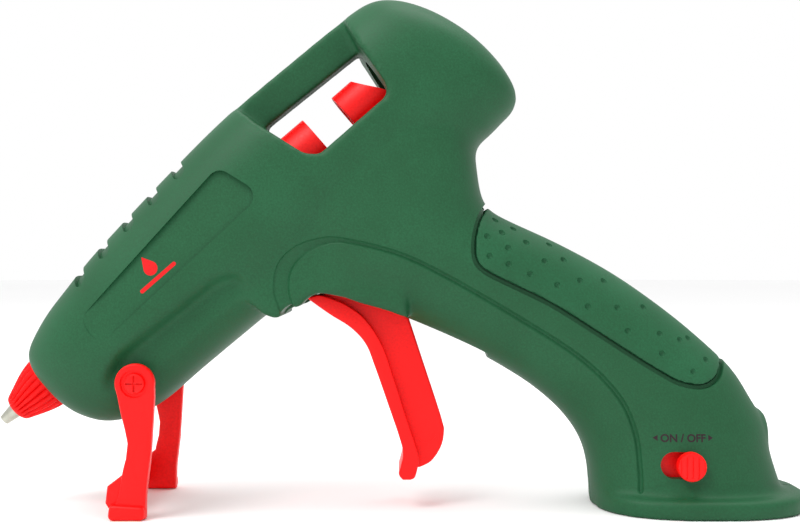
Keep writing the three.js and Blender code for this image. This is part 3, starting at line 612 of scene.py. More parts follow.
# ------------------------------------------------------------------ housing shells
# Two glass-filled nylon mouldings, screwed together on the gun's middle plane. Inside they carry ribs and
# bosses that hold the heater, the stick's path and the feed. The right half is counterbored for six screws.
def surface(material, colour, gloss, relief_normal):
    """Links a material's colour, roughness and fine relief to its shader."""
    inputs = material.node_tree.nodes["Principled BSDF"].inputs
    for name, source in (("Base Color", colour), ("Roughness", gloss), ("Normal", relief_normal)):
        material.node_tree.links.new(source, inputs[name])


def tinted_plastic(name, colour, dark, light, roughness, grain, grain_depth):
    """Moulded plastic: a fine even grain in the surface, and a slow drift of shade where the melt flowed."""
    material = bpy.data.materials.new(name)
    material.use_nodes = True
    shader = material.node_tree.nodes["Principled BSDF"]
    shader.inputs["IOR"].default_value = 1.5
    shader.inputs["Specular IOR Level"].default_value = 0.25
    place = add_node(material, "ShaderNodeTexCoord").outputs["Object"]
    flow = add_node(material, "ShaderNodeTexNoise", {"Scale": 45.0, "Detail": 3.0, "Roughness": 0.55},
                    {"Vector": place})
    speck = add_node(material, "ShaderNodeTexNoise", {"Scale": 1 / (grain * MM), "Detail": 2.0},
                     {"Vector": place})
    both = add_node(material, "ShaderNodeMix", {"Factor": 0.55},
                    {"A": flow.outputs["Fac"], "B": speck.outputs["Fac"]})
    ramp = add_node(material, "ShaderNodeValToRGB", links={"Fac": both.outputs["Result"]})
    ramp.color_ramp.elements[0].position = 0.36
    ramp.color_ramp.elements[0].color = linear(dark)
    ramp.color_ramp.elements[1].position = 0.64
    ramp.color_ramp.elements[1].color = linear(light)
    ramp.color_ramp.elements.new(0.5).color = linear(colour)
    gloss = add_node(material, "ShaderNodeMapRange",
                     {"From Min": 0.3, "From Max": 0.7,
                      "To Min": roughness - 0.05, "To Max": roughness + 0.06},
                     {"Value": speck.outputs["Fac"]})
    bump = add_node(material, "ShaderNodeBump", {"Strength": 0.6, "Distance": grain_depth * MM},
                    {"Height": speck.outputs["Fac"]})
    surface(material, ramp.outputs["Color"], gloss.outputs["Result"], bump.outputs["Normal"])
    return material


def cross_bar(place, radius, near, far, sides=48):
    """A round bar across the gun at a side-view place."""
    bm = bmesh.new()
    centre = Vector((place.x, (near + far) / 2 * MM, place.z))
    turn = Matrix.Translation(centre) @ Matrix.Rotation(math.radians(90), 4, "X")
    bmesh.ops.create_cone(bm, cap_ends=True, segments=sides, radius1=radius * MM, radius2=radius * MM,
                          depth=(far - near) * MM, matrix=turn)
    return solid_object("bar", bm)


def block(centre, sizes, turn=Matrix.Identity(4)):
    """A box of three sizes in millimetres, turned about its middle."""
    bm = bmesh.new()
    stretch = Matrix.Diagonal((*[size * MM for size in sizes], 1.0))
    bmesh.ops.create_cube(bm, size=1.0, matrix=Matrix.Translation(centre) @ turn @ stretch)
    return solid_object("block", bm)


def barrel_block(along, side, up):
    """A box square to the stick's path, from its (low, high) spans along, sideways and up, in millimetres."""
    centre = barrel_place(sum(along) / 2, sum(up) / 2, sum(side) / 2)
    sizes = [high - low for low, high in (along, side, up)]
    return block(centre, sizes, Matrix((ALONG, (0, 1, 0), UP)).transposed().to_4x4())


def span(side, inner, outer):
    """The low and the high end of a sideways span on one side of the gun."""
    return sorted((side * inner, side * outer))


def grown(outline, distance):
    """A closed side-view outline moved outwards, square to its run at each corner."""
    pairs = list(zip(outline, outline[1:] + outline[:1]))
    winding = math.copysign(1.0, sum(a.x * b.z - b.x * a.z for a, b in pairs))
    moved = []
    for i, point in enumerate(outline):
        run = outline[(i + 1) % len(outline)] - outline[i - 1]
        moved.append(point + Vector((run.z, 0.0, -run.x)).normalized() * winding * distance * MM)
    return moved


WALL, GRIP_WALL, FIT = 2.4, 4.4, 0.3
TRIGGER_HUB = Vector(joints["trigger_pull"]["pos_m"])
STAND_HUB = Vector(joints["stand_fold"]["pos_m"])
SPRING_POST = barrel_place(158.0, -13.0)
SCREW_PLACES = (barrel_outline((27.5, -15.0), (80.0, -20.5), (101.0, 16.5), (154.0, -20.5))
                + side_outline((44.0, 52.0), (84.0, 28.0)))
SCREW_SHAFT, SCREW_HEAD, SCREW_SEAT, SCREW_TIP = 1.5, 2.8, 6.0, -9.0
HUB_RADIUS, SCREW_BOSS_RADIUS, POST_RADIUS, STAND_BOSS_RADIUS = 4.6, 3.4, 1.6, 4.4
TRIGGER_PIN_HOLE, STAND_SCREW_HOLE, LEG_INNER = 2.3, 1.8, 19.4
PAD_SWING = side_outline((-27.6, 50.0), (1.5, 44.0), (0.0, 58.0), (-6.0, 72.0), (-24.0, 78.0), (-27.6, 66.0))
WEB_SWING = side_outline((-10.0, 40.0), (26.0, 34.0), (18.0, 66.0), (-10.0, 70.0))

# Ribs across the barrel, as (start, end, lowest point).
RIB_TOP = 30.0
RIBS = [(30.0, 32.4, -14.0), (98.5, 100.7, -7.0), (150.0, 152.2, -9.0)]

hollow = solid_object("hollow", barrel_form(WALL, 40, 2))
combine(hollow, "UNION", solid_object("grip_hollow", grip_form(GRIP_WALL, 36, 2)))
walls = [slab(grown(outline, 3.0), -REACH, REACH) for outline in (window_outline, strap_space)]
walls += [barrel_block((start, end), (-REACH, REACH), (low, RIB_TOP)) for start, end, low in RIBS]
walls.append(cross_bar(SPRING_POST, POST_RADIUS, -REACH, REACH))
walls += [cross_bar(place, SCREW_BOSS_RADIUS, -REACH, REACH) for place in SCREW_PLACES]
for side in (-1, 1):
    walls += [cross_bar(TRIGGER_HUB, HUB_RADIUS, *span(side, 10.5, REACH)),
              cross_bar(STAND_HUB, HUB_RADIUS, *span(side, 8.0, REACH)),
              slab(grown(stand_seat, WALL), *span(side, SEAT_SIDE - WALL, REACH))]
combine(hollow, "DIFFERENCE", *walls)

# Outside, the stand's flat seats keep a round boss for each leg to turn on.
shell_cuts = []
for side in (-1, 1):
    boss_span = span(side, SEAT_SIDE - 1.0, LEG_INNER - FIT)
    combine(body, "UNION", cross_bar(STAND_HUB, STAND_BOSS_RADIUS, *boss_span))
    shell_cuts.append(cross_bar(STAND_HUB, STAND_SCREW_HOLE, *span(side, 11.0, REACH)))

# The stick's path, then room for the heater and its clip, for the carriage's yoke, for the link and the
# trigger's arm, and for the trigger's band and web as they swing.
stick_path = [(10.0, 0.0), (10.0, 8.0), (29.0, 8.0), (29.0, 9.3), (97.0, 9.3), (97.0, 8.7), (146.0, 8.7),
              (146.0, 6.6), (166.0, 6.6), (173.0, 9.0), (173.0, 0.0)]
shell_cuts += [hollow, turned_form(stick_path),
               barrel_block((36.0, 79.0), (-10.8, 10.8), (-18.4, 0.0)),
               barrel_block((112.0, 150.0), (-13.0, 13.0), (-17.0, -4.0)),
               barrel_block((88.0, 112.0), (-6.2, 6.2), (-24.0, -4.0)),
               slab(PAD_SWING, -10.2, 10.2), slab(WEB_SWING, -6.8, 6.8),
               cross_bar(TRIGGER_HUB, TRIGGER_PIN_HOLE, -13.3, 13.3)]
for place in SCREW_PLACES:
    shell_cuts += [cross_bar(place, SCREW_SHAFT + FIT, SCREW_TIP - 1, REACH),
                   cross_bar(place, SCREW_HEAD + FIT, SCREW_SEAT, REACH)]

switch_room = [side_place(SWITCH_X + x, SWITCH_Z + z)
               for x, z in ((-10.9, -5.4), (10.6, -5.4), (10.6, 5.4), (-10.9, 5.4))]
shell_cuts += [slab(switch_room, -SHUTTER_FACE - 1.3, -8.0),
               slab(obround(SLOT_HALF, SLOT_HIGH), -REACH, -8.0),
               turned_form([(CORD_FROM - 6, 0.0), (CORD_FROM - 6, BUSH_RADIUS + FIT),
                            (CORD_TO + 9, BUSH_RADIUS + FIT), (CORD_TO + 9, 0.0)], cord_origin, EAST, HIGH)]

# The seat of the grip pad, with the groove that shows around it.
PAD_DEPTH, PAD_GAP, PAD_GROOVE, PAD_GROOVE_DEPTH, PAD_SUNK = 1.8, 0.3, 1.25, 1.4, 0.12
pad_outline = path_of([(24.2, 82.4), (21.9, 79.2), (20.6, 75.6), (20.0, 70.9), (20.7, 67.4), (23.0, 65.1),
                       (27.6, 62.7), (40.0, 56.7), (52.0, 49.3), (63.5, 41.9), (69.6, 38.2), (74.0, 35.8),
                       (78.6, 34.6), (82.2, 34.8), (85.3, 36.6), (87.3, 39.6)], 4)
pad_outline += side_outline((95.0, 47.0), (70.0, 70.0), (40.0, 88.0))
pad_seat = combine(slab(grown(pad_outline, PAD_GAP), -REACH, REACH), "DIFFERENCE", sunk_copy(PAD_DEPTH + FIT))
pad_groove = slab(grown(pad_outline, PAD_GROOVE), -REACH, REACH)
combine(pad_groove, "DIFFERENCE", sunk_copy(PAD_GROOVE_DEPTH))
whole_skin, pad_bed = sunk_copy(PAD_SUNK), sunk_copy(PAD_DEPTH)
combine(body, "DIFFERENCE", pad_seat, pad_groove, *shell_cuts)


def finished(piece, name, material, node, rides, smooth_angle=35.0):
    """Names a finished solid, gives it its material, hides the node it stands for and hangs it on its body.
    """
    bm = opened(piece)
    bpy.data.objects.remove(piece)
    piece = new_object(name, bm, material, smooth_angle)
    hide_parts(node)
    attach(piece, rides)


green_nylon = tinted_plastic("moulded_green_nylon", "#195030", "#164a2b", "#1d5736", 0.52, 0.5, 0.03)
SEAM_GAP = 0.05
for name, near, far in (("housing_left", -REACH, -SEAM_GAP), ("housing_right", SEAM_GAP, REACH)):
    half = combine(copy_of(body), "INTERSECT", slab(wide_outline, near, far))
    finished(half, name + "_moulding", green_nylon, name, "housing")
bpy.data.objects.remove(body)

# ------------------------------------------------------------------ printed marks
# Ink printed on the left half: plain ON and OFF words above the switch with an arrowhead on each side, and a
# red drop over a short bead on the label panel. Each is a thin film that follows the moulding.
INK_PROUD, INK_THICKNESS = 0.04, 0.1
FROM_LEFT = Vector((0.0, 1.0, 0.0))


def skin_of(piece):
    """What a ray needs to find a piece's skin."""
    bm = opened(piece)
    tree = BVHTree.FromBMesh(bm)
    bm.free()
    return tree


def printed(bm, name, ink):
    """Lays flat side-view faces on the left half's skin and gives them the thickness of ink."""
    for vert in bm.verts:
        spot = left_skin.ray_cast(Vector((vert.co.x, -REACH * MM, vert.co.z)), FROM_LEFT)[0]
        vert.co.y = (spot.y if spot else -SWITCH_FACE * MM) - INK_PROUD * MM
    thicken(bm, (0.0, INK_THICKNESS * MM, 0.0))
    mark = new_object(name, bm, ink)
    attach(mark, "housing")


CAPITAL_SHARE, STROKE_GROWTH = 0.7, 0.07


def lettering(text, x, z, height):
    """Plain words as flat side-view faces, centred on a place."""
    words = bpy.data.curves.new("words", "FONT")
    words.body = text
    words.size = height * MM / CAPITAL_SHARE
    words.align_x = "CENTER"
    words.resolution_u = 4
    words.offset = STROKE_GROWTH * MM
    holder = bpy.data.objects.new("words", words)
    bpy.context.collection.objects.link(holder)
    mesh = bpy.data.meshes.new_from_object(holder.evaluated_get(bpy.context.evaluated_depsgraph_get()))
    bpy.data.objects.remove(holder)
    bm = bmesh.new()
    bm.from_mesh(mesh)
    stand_up = Matrix.Translation(side_place(x, z)) @ Matrix.Rotation(math.radians(90), 4, "X")
    bmesh.ops.transform(bm, verts=bm.verts, matrix=stand_up)
    bmesh.ops.remove_doubles(bm, verts=bm.verts, dist=0.001 * MM)
    return bm


def flat_shape(*outlines):
    bm = bmesh.new()
    for outline in outlines:
        bm.faces.new([bm.verts.new(point) for point in outline])
    return bm


def barrel_arc(along, up, radius, degrees):
    """Places round a middle in the barrel, by their turn from its top towards the tail."""
    turns = [math.radians(degree) for degree in degrees]
    return [barrel_place(along + radius * math.sin(turn), up + radius * math.cos(turn)) for turn in turns]


left_skin = skin_of(bpy.data.objects["housing_left_moulding"])
dark_ink = tinted_plastic("printed_dark_ink", "#2b1a22", "#25161d", "#32202a", 0.6, 0.3, 0.005)
red_ink = tinted_plastic("printed_red_ink", "#d31013", "#c60c10", "#dd1518", 0.45, 0.3, 0.005)
MARK_X, MARK_Z, MARK_HIGH, ARROW_OUT = 75.0, 19.7, 2.0, 6.7
printed(lettering("ON / OFF", MARK_X, MARK_Z, MARK_HIGH), "switch_words", dark_ink)
arrows = [[side_place(MARK_X + end * (ARROW_OUT + reach), MARK_Z + MARK_HIGH * rise)
           for reach, rise in ((0.0, 0.1), (1.3, 0.5), (0.0, 0.9))] for end in (-1, 1)]
printed(flat_shape(*arrows), "switch_arrowheads", dark_ink)

# The drop has a round belly of one radius and a point above it. The bead is a bar with round ends.
DROP_ALONG, DROP_UP, DROP_RADIUS, DROP_POINT = 62.0, 2.3, 1.9, 3.9
BEAD_HALF, BEAD_RADIUS, BEAD_BELOW = 5.5, 0.55, 3.2
drop = barrel_outline((DROP_ALONG, DROP_UP + DROP_POINT))
drop += barrel_arc(DROP_ALONG, DROP_UP, DROP_RADIUS, range(60, 301, 12))
bead = barrel_arc(DROP_ALONG + BEAD_HALF, DROP_UP - BEAD_BELOW, BEAD_RADIUS, range(0, 181, 20))
bead += barrel_arc(DROP_ALONG - BEAD_HALF, DROP_UP - BEAD_BELOW, BEAD_RADIUS, range(180, 361, 20))
printed(flat_shape(drop, bead), "panel_drop_mark", red_ink)

# ------------------------------------------------------------------ grip pad
# A softer nylon inlay over the back of the grip, glued in a seat with a narrow groove round it. Small pits
# moulded into both sides keep the hand from slipping.
PAD_VOXEL, PAD_ROUNDS = 0.55 * MM, 4
pad = combine(slab(pad_outline, -REACH, REACH), "INTERSECT", whole_skin)
combine(pad, "DIFFERENCE", pad_bed)
even_skin(pad, PAD_VOXEL)
smooth_form(pad, PAD_ROUNDS)

PITS = [(23.3, 74.3), (27.4, 75.4), (25.8, 78.8), (30.7, 76.5), (34.0, 72.8), (28.9, 71.2), (23.8, 69.0),
        (28.9, 66.8), (38.8, 67.7), (34.7, 64.2), (40.6, 72.2), (44.2, 68.1), (42.0, 61.3), (48.4, 62.5),
        (55.2, 62.4), (50.2, 55.5), (58.4, 55.2), (66.0, 55.3), (60.9, 49.0), (69.9, 48.2), (75.7, 46.5),
        (78.4, 46.8), (70.1, 42.9), (78.6, 38.1), (82.9, 41.1)]
PIT_RADIUS, PIT_RISE, PIT_AIM = 1.0, 0.42, 40.0      # the aim is how far out a ray to a pit's place starts
pad_skin = skin_of(pad)
pits = []
for side in (-1, 1):
    for x, z in PITS:
        spot = pad_skin.ray_cast(side_place(x, z, side * PIT_AIM), Vector((0.0, -side, 0.0)))[0]
        if spot:
            bm = bmesh.new()
            middle = Matrix.Translation(spot + Vector((0.0, side * PIT_RISE * MM, 0.0)))
            bmesh.ops.create_icosphere(bm, subdivisions=3, radius=PIT_RADIUS * MM, matrix=middle)
            pits.append(solid_object("pit", bm))
combine(pad, "DIFFERENCE", *pits)
green_inlay = tinted_plastic("moulded_green_soft_nylon", "#1b5434", "#184d2e", "#1f5b3a", 0.58, 0.5, 0.035)
finished(pad, "grip_inlay", green_inlay, "grip_pad", "housing")


# ------------------------------------------------------------------ nozzle
# Turned brass, nickel plated, screwed into the melt chamber. Only its dull silver tip shows past the red cap.
def plated_metal(name, colour, shade, roughness, streak):
    """Plated or drawn metal: a fine directional scratch in the gloss and a slight mottling of the plate."""
    material = bpy.data.materials.new(name)
    material.use_nodes = True
    shader = material.node_tree.nodes["Principled BSDF"]
    shader.inputs["Metallic"].default_value = 1.0
    place = add_node(material, "ShaderNodeTexCoord").outputs["Object"]
    stretch = add_node(material, "ShaderNodeMapping", {"Scale": (1.0, 1.0, 0.15)}, {"Vector": place})
    scratch = add_node(material, "ShaderNodeTexNoise", {"Scale": 1 / (streak * MM), "Detail": 3.0},
                       {"Vector": stretch.outputs["Vector"]})
    mottle = add_node(material, "ShaderNodeTexNoise", {"Scale": 400.0, "Detail": 4.0}, {"Vector": place})
    tint = add_node(material, "ShaderNodeMix", {"data_type": "RGBA"}, {"Factor": mottle.outputs["Fac"]})
    tint.inputs["A"].default_value = linear(colour)
    tint.inputs["B"].default_value = linear(shade)
    gloss = add_node(material, "ShaderNodeMapRange", {"To Min": roughness - 0.08, "To Max": roughness + 0.12},
                     {"Value": scratch.outputs["Fac"]})
    bump = add_node(material, "ShaderNodeBump", {"Strength": 0.4, "Distance": 0.01 * MM},
                    {"Height": scratch.outputs["Fac"]})
    surface(material, tint.outputs["Result"], gloss.outputs["Result"], bump.outputs["Normal"])
    return material


nickel = plated_metal("turned_nickel_plated_brass", "#c4c4b8", "#a5a598", 0.36, 0.2)
nozzle = turned_form([(0.0, 0.9), (0.0, 1.45), (3.4, 2.0), (4.8, 2.2), (6.0, 2.6), (16.0, 2.6), (16.0, 5.0),
                      (18.6, 5.0), (18.6, 3.5), (27.0, 3.5), (27.0, 2.4), (22.0, 0.9)], sides=48, bevel=0.18)
finished(nozzle, "nozzle_turned", nickel, "nozzle", "housing")

# ------------------------------------------------------------------ nozzle cap
# A red silicone sleeve pushed over the hot nozzle, so that fingers don't touch it: a cone with deep ribs
# along it that run out before the smooth round front edge.
CAP_BASE, CAP_BORE, CAP_BACK = 7.65, 2.95, 18.2
CAP_RIBS, CAP_RIB_DEPTH, CAP_RIB_ROUNDNESS = 24, 0.85, 0.7
RIB_START, RIB_FULL, RIB_INNER, RIB_END = 5.4, 7.4, 3.3, 17.9


def red_silicone_rubber():
    """Moulded silicone: matt, a little light passes into it, and a bloom of fine dust in its colour."""
    material = tinted_plastic("moulded_red_silicone", "#e80505", "#d60304", "#f20a08", 0.55, 0.4, 0.02)
    shader = material.node_tree.nodes["Principled BSDF"]
    shader.inputs["Subsurface Weight"].default_value = 0.15
    shader.inputs["Subsurface Scale"].default_value = 1.0 * MM
    shader.inputs["IOR"].default_value = 1.41
    return material


cap_outside = spline([(5.0, 3.7), (5.6, 4.15), (8.0, 5.15), (11.0, 6.35), (13.5, 7.15), (16.0, CAP_BASE)], 6)
cap_inside = [(CAP_BACK, CAP_BASE), (CAP_BACK, 5.35), (15.6, 5.35), (15.6, CAP_BORE), (6.4, CAP_BORE)]
cap = turned_form([(4.7, 2.5), (4.7, 3.2)] + cap_outside + cap_inside, sides=CAP_RIBS * 8)
for vert in cap.data.vertices:
    run = vert.co - nozzle_tip
    along = run.dot(ALONG) / MM
    out = run - ALONG * run.dot(ALONG)
    if out.length < RIB_INNER * MM or along > RIB_END:
        continue
    turn = math.atan2(out.y, out.dot(UP))
    rib = abs(math.sin(turn * CAP_RIBS / 2)) ** CAP_RIB_ROUNDNESS
    vert.co -= out.normalized() * (1 - rib) * smooth_step(along, RIB_START, RIB_FULL) * CAP_RIB_DEPTH * MM
finished(cap, "nozzle_cap_ribbed", red_silicone_rubber(), "nozzle_cap", "housing", 50.0)

# ------------------------------------------------------------------ hot end
# Inside the barrel: a die-cast aluminium melt chamber with a ceramic heater held under it by a spring clip,
# and a mica sheet between them. Little of it shows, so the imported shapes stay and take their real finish.
cast_aluminium = plated_metal("die_cast_aluminium", "#b9bcbf", "#94979a", 0.5, 0.5)
spring_steel = plated_metal("drawn_spring_steel", "#a9abad", "#8b8e91", 0.3, 0.1)
zinc_steel = plated_metal("zinc_plated_steel", "#b9bbb9", "#999c98", 0.33, 0.15)
mica = tinted_plastic("split_mica_sheet", "#b98a3a", "#96691f", "#cfa45a", 0.35, 1.5, 0.05)
ceramic = tinted_plastic("sintered_heater_ceramic", "#8f8a80", "#7b766c", "#a09b91", 0.7, 0.3, 0.02)


def refinish(material, *nodes):
    """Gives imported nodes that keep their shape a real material."""
    for name in nodes:
        for slot in frame["nodes"][name].material_slots:
            slot.material = material


refinish(cast_aluminium, "melt_chamber")
refinish(ceramic, "ptc_heater")
refinish(mica, "heater_insulator")
refinish(spring_steel, "heater_clip", "sleeve_clamp", "return_spring")

# ------------------------------------------------------------------ inlet sleeve and feed carriage
# Two red moulded tubes that guide the glue stick, seen through the window: the fixed sleeve on the hot
# chamber, cut square, and behind it the sliding carriage, cut at a slant, with a yoke for the gripper.
red_moulding = tinted_plastic("moulded_red_plastic", "#f70505", "#ec0202", "#ff0c0a", 0.42, 0.6, 0.015)
BORE, CARRIAGE_RADIUS, CARRIAGE_FRONT, CARRIAGE_BACK = 5.95, 7.4, 128.0, 143.0
sleeve = turned_form([(85.0, 9.2), (92.6, 9.2), (95.0, 8.4), (118.0, 8.1), (118.0, 7.05), (116.0, BORE),
                      (92.4, BORE), (92.4, 7.5), (85.0, 7.5)], sides=80, bevel=0.25)
finished(sleeve, "inlet_sleeve_tube", red_moulding, "inlet_sleeve", "housing")

SMALL_PIN = 1.25
GRIPPER_HUB = Vector(joints["gripper_bite"]["pos_m"])
carriage = turned_form([(CARRIAGE_FRONT, BORE), (CARRIAGE_FRONT, CARRIAGE_RADIUS),
                        (CARRIAGE_BACK, CARRIAGE_RADIUS), (CARRIAGE_BACK, BORE)], sides=80, bevel=0.3)
slant = spline([(134.8, 9.0), (135.4, 6.4), (137.2, 3.2), (140.0, -0.8), (141.8, -4.4)], 6)
combine(carriage, "DIFFERENCE",
        slab(barrel_outline(*slant, (141.8, -9.0), (160.0, -9.0), (160.0, 9.0)), -20, 20))
for side in (-1, 1):
    combine(carriage, "UNION", barrel_block((130.5, 141.4), span(side, 4.9, 7.2), (-14.2, -5.0)),
            barrel_block((129.5, 141.4), span(side, 5.0, 11.5), (-11.4, -9.0)))
combine(carriage, "UNION", barrel_block((139.6, 141.4), (-7.0, 7.0), (-14.2, -6.5)))
combine(carriage, "DIFFERENCE",
        turned_form([(120.0, 0.0), (120.0, BORE), (150.0, BORE), (150.0, 0.0)], sides=80),
        barrel_block((129.6, 139.0), (-4.8, 4.8), (-20.0, -3.0)),
        cross_bar(GRIPPER_HUB, SMALL_PIN + FIT, -20, 20))
finished(carriage, "feed_carriage_tube", red_moulding, "feed_carriage", "carriage")

# ------------------------------------------------------------------ feed mechanism
# A toothed steel gripper bites the stick, and a black link from the trigger pulls it. They, their pins and
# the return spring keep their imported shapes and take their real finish.
black_acetal = tinted_plastic("moulded_black_acetal", "#232323", "#1c1c1c", "#2b2b2b", 0.4, 0.5, 0.02)
refinish(zinc_steel, "gripper", "gripper_pin", "link_pin", "bite_pin", "trigger_pin")
refinish(black_acetal, "feed_link")


# ------------------------------------------------------------------ trigger
# One red moulding: a broad finger band that curves down to a small beak, a narrower web behind it, the hub on
# its steel pin, and a forked arm up inside the gun that pulls the feed link.
def moulded(outline, near, far, bevel):
    """A side-view outline given a thickness, with its edges on both sides rounded over."""
    bm = side_solid(outline, near, far)
    caps = [face for face in bm.faces if abs(face.normal.y) > 0.99]
    rims = list({edge for face in caps for edge in face.edges})
    bmesh.ops.bevel(bm, geom=rims, offset=bevel * MM, offset_type="OFFSET", segments=4, profile=0.5,
                    affect="EDGES", clamp_overlap=True, material=-1)
    return solid_object("moulded", bm)


PAD_HALF, WEB_HALF, LEVER_HALF, FORK_HALF = 9.5, 6.0, 5.4, 2.4
LINK_HUB = Vector(joints["link_turn"]["pos_m"])
band_edge = path_of([(-25.4, 57.6), (-19.2, 53.2), (-13.4, 49.5), (-9.3, 45.0), (-6.8, 38.8), (-3.5, 29.4),
                     (-0.25, 19.9), (0.8, 15.4), (0.2, 11.8), (-0.3, 9.6), (0.8, 8.1)], 6)
band_edge += path_of([(2.9, 8.1), (4.2, 9.1), (5.1, 13.4), (4.7, 16.2), (1.8, 24.9), (-1.5, 35.1),
                      (-4.8, 44.6), (-9.3, 51.6), (-14.6, 55.7), (-20.0, 57.9), (-22.4, 58.4)], 6)
web_edge = side_outline((-13.0, 52.6), (-6.4, 44.6), (-0.4, 26.0), (3.0, 14.8), (2.6, 10.7))
web_edge += path_of([(5.4, 10.9), (8.6, 12.6), (11.2, 16.4), (12.1, 20.4), (11.5, 24.1), (6.7, 38.8),
                     (2.4, 51.8)], 6)
web_edge += side_outline((-1.6, 59.0), (-8.0, 64.0), (-16.0, 67.4), (-21.5, 62.0), (-21.0, 58.0))
trigger = moulded(band_edge, -PAD_HALF, PAD_HALF, 0.9)
hub_x, hub_z, pin_x, pin_z = TRIGGER_HUB.x / MM, TRIGGER_HUB.z / MM, LINK_HUB.x / MM, LINK_HUB.z / MM
lever = side_outline((hub_x + 4.4, hub_z - 1), (hub_x - 4.2, hub_z + 1), (pin_x - 2.6, pin_z + 1),
                     (pin_x + 2.6, pin_z + 1.2))
arm = slab(lever, -LEVER_HALF, LEVER_HALF)
combine(arm, "UNION", cross_bar(LINK_HUB, 2.9, -LEVER_HALF, LEVER_HALF))
link_along = (LINK_HUB - nozzle_tip).dot(ALONG) / MM
link_up = (LINK_HUB - nozzle_tip).dot(UP) / MM
combine(arm, "DIFFERENCE", barrel_block((link_along - 14, link_along + 12), (-FORK_HALF, FORK_HALF),
                                        (link_up - 7, link_up + 6)))
combine(trigger, "UNION", moulded(web_edge, -WEB_HALF, WEB_HALF, 0.7),
        cross_bar(TRIGGER_HUB, 4.4, -8, 8), arm)

# Shallow witness marks of the mould's ejector pins, on both sides of the web.
EJECTOR_RADIUS, EJECTOR_DEPTH = 2.6, 0.12
for spot in side_outline((-1.0, 53.0), (7.2, 20.4)):
    for side in (-1, 1):
        mark_span = span(side, WEB_HALF - EJECTOR_DEPTH, WEB_HALF + 0.6)
        combine(trigger, "DIFFERENCE", cross_bar(spot, EJECTOR_RADIUS, *mark_span))
combine(trigger, "DIFFERENCE", cross_bar(TRIGGER_HUB, TRIGGER_PIN_HOLE, -REACH, REACH),
        cross_bar(LINK_HUB, SMALL_PIN + FIT, -REACH, REACH))
finished(trigger, "trigger_moulding", red_moulding, "trigger", "trigger")

# ------------------------------------------------------------------ stand
# A red bail that swings on two screws: two legs with round heads, an outward step half way down, a cross bar
# between them low at the front, and a rounded lip on each foot.
LEG_OUTER, LIP_OUTER, LEG_STEP, LEG_HEAD = 22.1, 24.1, 0.6, 5.2
CREASE_LOW, CREASE_HIGH, CREASE_SLOPE = 17.6, 18.4, 0.25
leg_x, leg_z = STAND_HUB.x / MM, STAND_HUB.z / MM


def leg_places(*places):
    """Side-view numbers from a distance past the pivot and a height."""
    return [(leg_x + x, z) for x, z in places]


leg_edge = [side_place(leg_x + LEG_HEAD * math.cos(turn), leg_z + LEG_HEAD * math.sin(turn))
            for turn in (math.radians(angle) for angle in range(-10, 191, 10))]
leg_edge += path_of(leg_places((-4.4, 32.0), (-3.6, 27.9), (-2.5, 23.4), (-1.8, 19.9)), 4)
leg_edge += path_of(leg_places((-2.1, 16.0), (-3.0, 12.4), (-3.9, 7.0), (-5.4, 2.6)), 4)
leg_edge += side_outline(*leg_places((-5.6, 0.3)))
leg_edge += path_of(leg_places((3.0, 0.3), (3.1, 6.3), (3.6, 11.1), (4.3, 17.4), (4.8, 25.3), (5.2, 32.0)), 4)
lip = rounded_outline(side_outline(*leg_places((-6.6, 0.1), (3.0, 0.1), (3.0, 3.6), (-6.2, 4.2))), 1.2)
gusset = side_outline(*leg_places((-2.4, 12.3), (-7.2, 8.6), (-7.7, 4.2), (-6.6, 2.4), (-2.4, 2.4)))
foot_bar = side_outline(*leg_places((-4.4, 9.9), (-7.2, 8.6), (-7.7, 4.2), (-6.6, 2.4), (-4.4, 2.4)))


def step_leg(piece):
    """Moves the lower half of a leg outwards over a short ramp, which leaves a crease across its face."""
    bm = opened(piece)
    for height in (CREASE_HIGH, CREASE_LOW):
        bmesh.ops.bisect_plane(bm, geom=list(bm.verts) + list(bm.edges) + list(bm.faces),
                               plane_co=(0.0, 0.0, height * MM), plane_no=(CREASE_SLOPE, 0.0, 1.0))
    for vert in bm.verts:
        height = vert.co.z + CREASE_SLOPE * (vert.co.x - leg_x * MM)
        if abs(vert.co.y) > (LEG_INNER + 1) * MM:
            lower = 1 - smooth_step(height, (CREASE_LOW - 0.2) * MM, (CREASE_HIGH + 0.2) * MM)
            vert.co.y += math.copysign(LEG_STEP * MM * lower, vert.co.y)
    closed(bm, piece)


stand_parts = []
for side in (-1, 1):
    leg = moulded(leg_edge, *span(side, LEG_INNER, LEG_OUTER), 0.55)
    step_leg(leg)
    stand_parts += [leg, moulded(lip, *span(side, LEG_INNER, LIP_OUTER), 0.9),
                    moulded(gusset, *span(side, LEG_INNER, LEG_OUTER - 0.6), 0.5)]
stand = slab(rounded_outline(foot_bar, 0.6), -LEG_INNER - 1, LEG_INNER + 1)
combine(stand, "UNION", *stand_parts)
PIVOT_HOLE, RECESS, RECESS_DEPTH = 2.2, 3.75, 0.9
combine(stand, "DIFFERENCE", cross_bar(STAND_HUB, PIVOT_HOLE, -REACH, REACH, 64),
        cross_bar(STAND_HUB, RECESS, -REACH, -LEG_OUTER + RECESS_DEPTH, 64),
        cross_bar(STAND_HUB, RECESS, LEG_OUTER - RECESS_DEPTH, REACH, 64))
finished(stand, "stand_bail", red_moulding, "stand", "stand", 40.0)


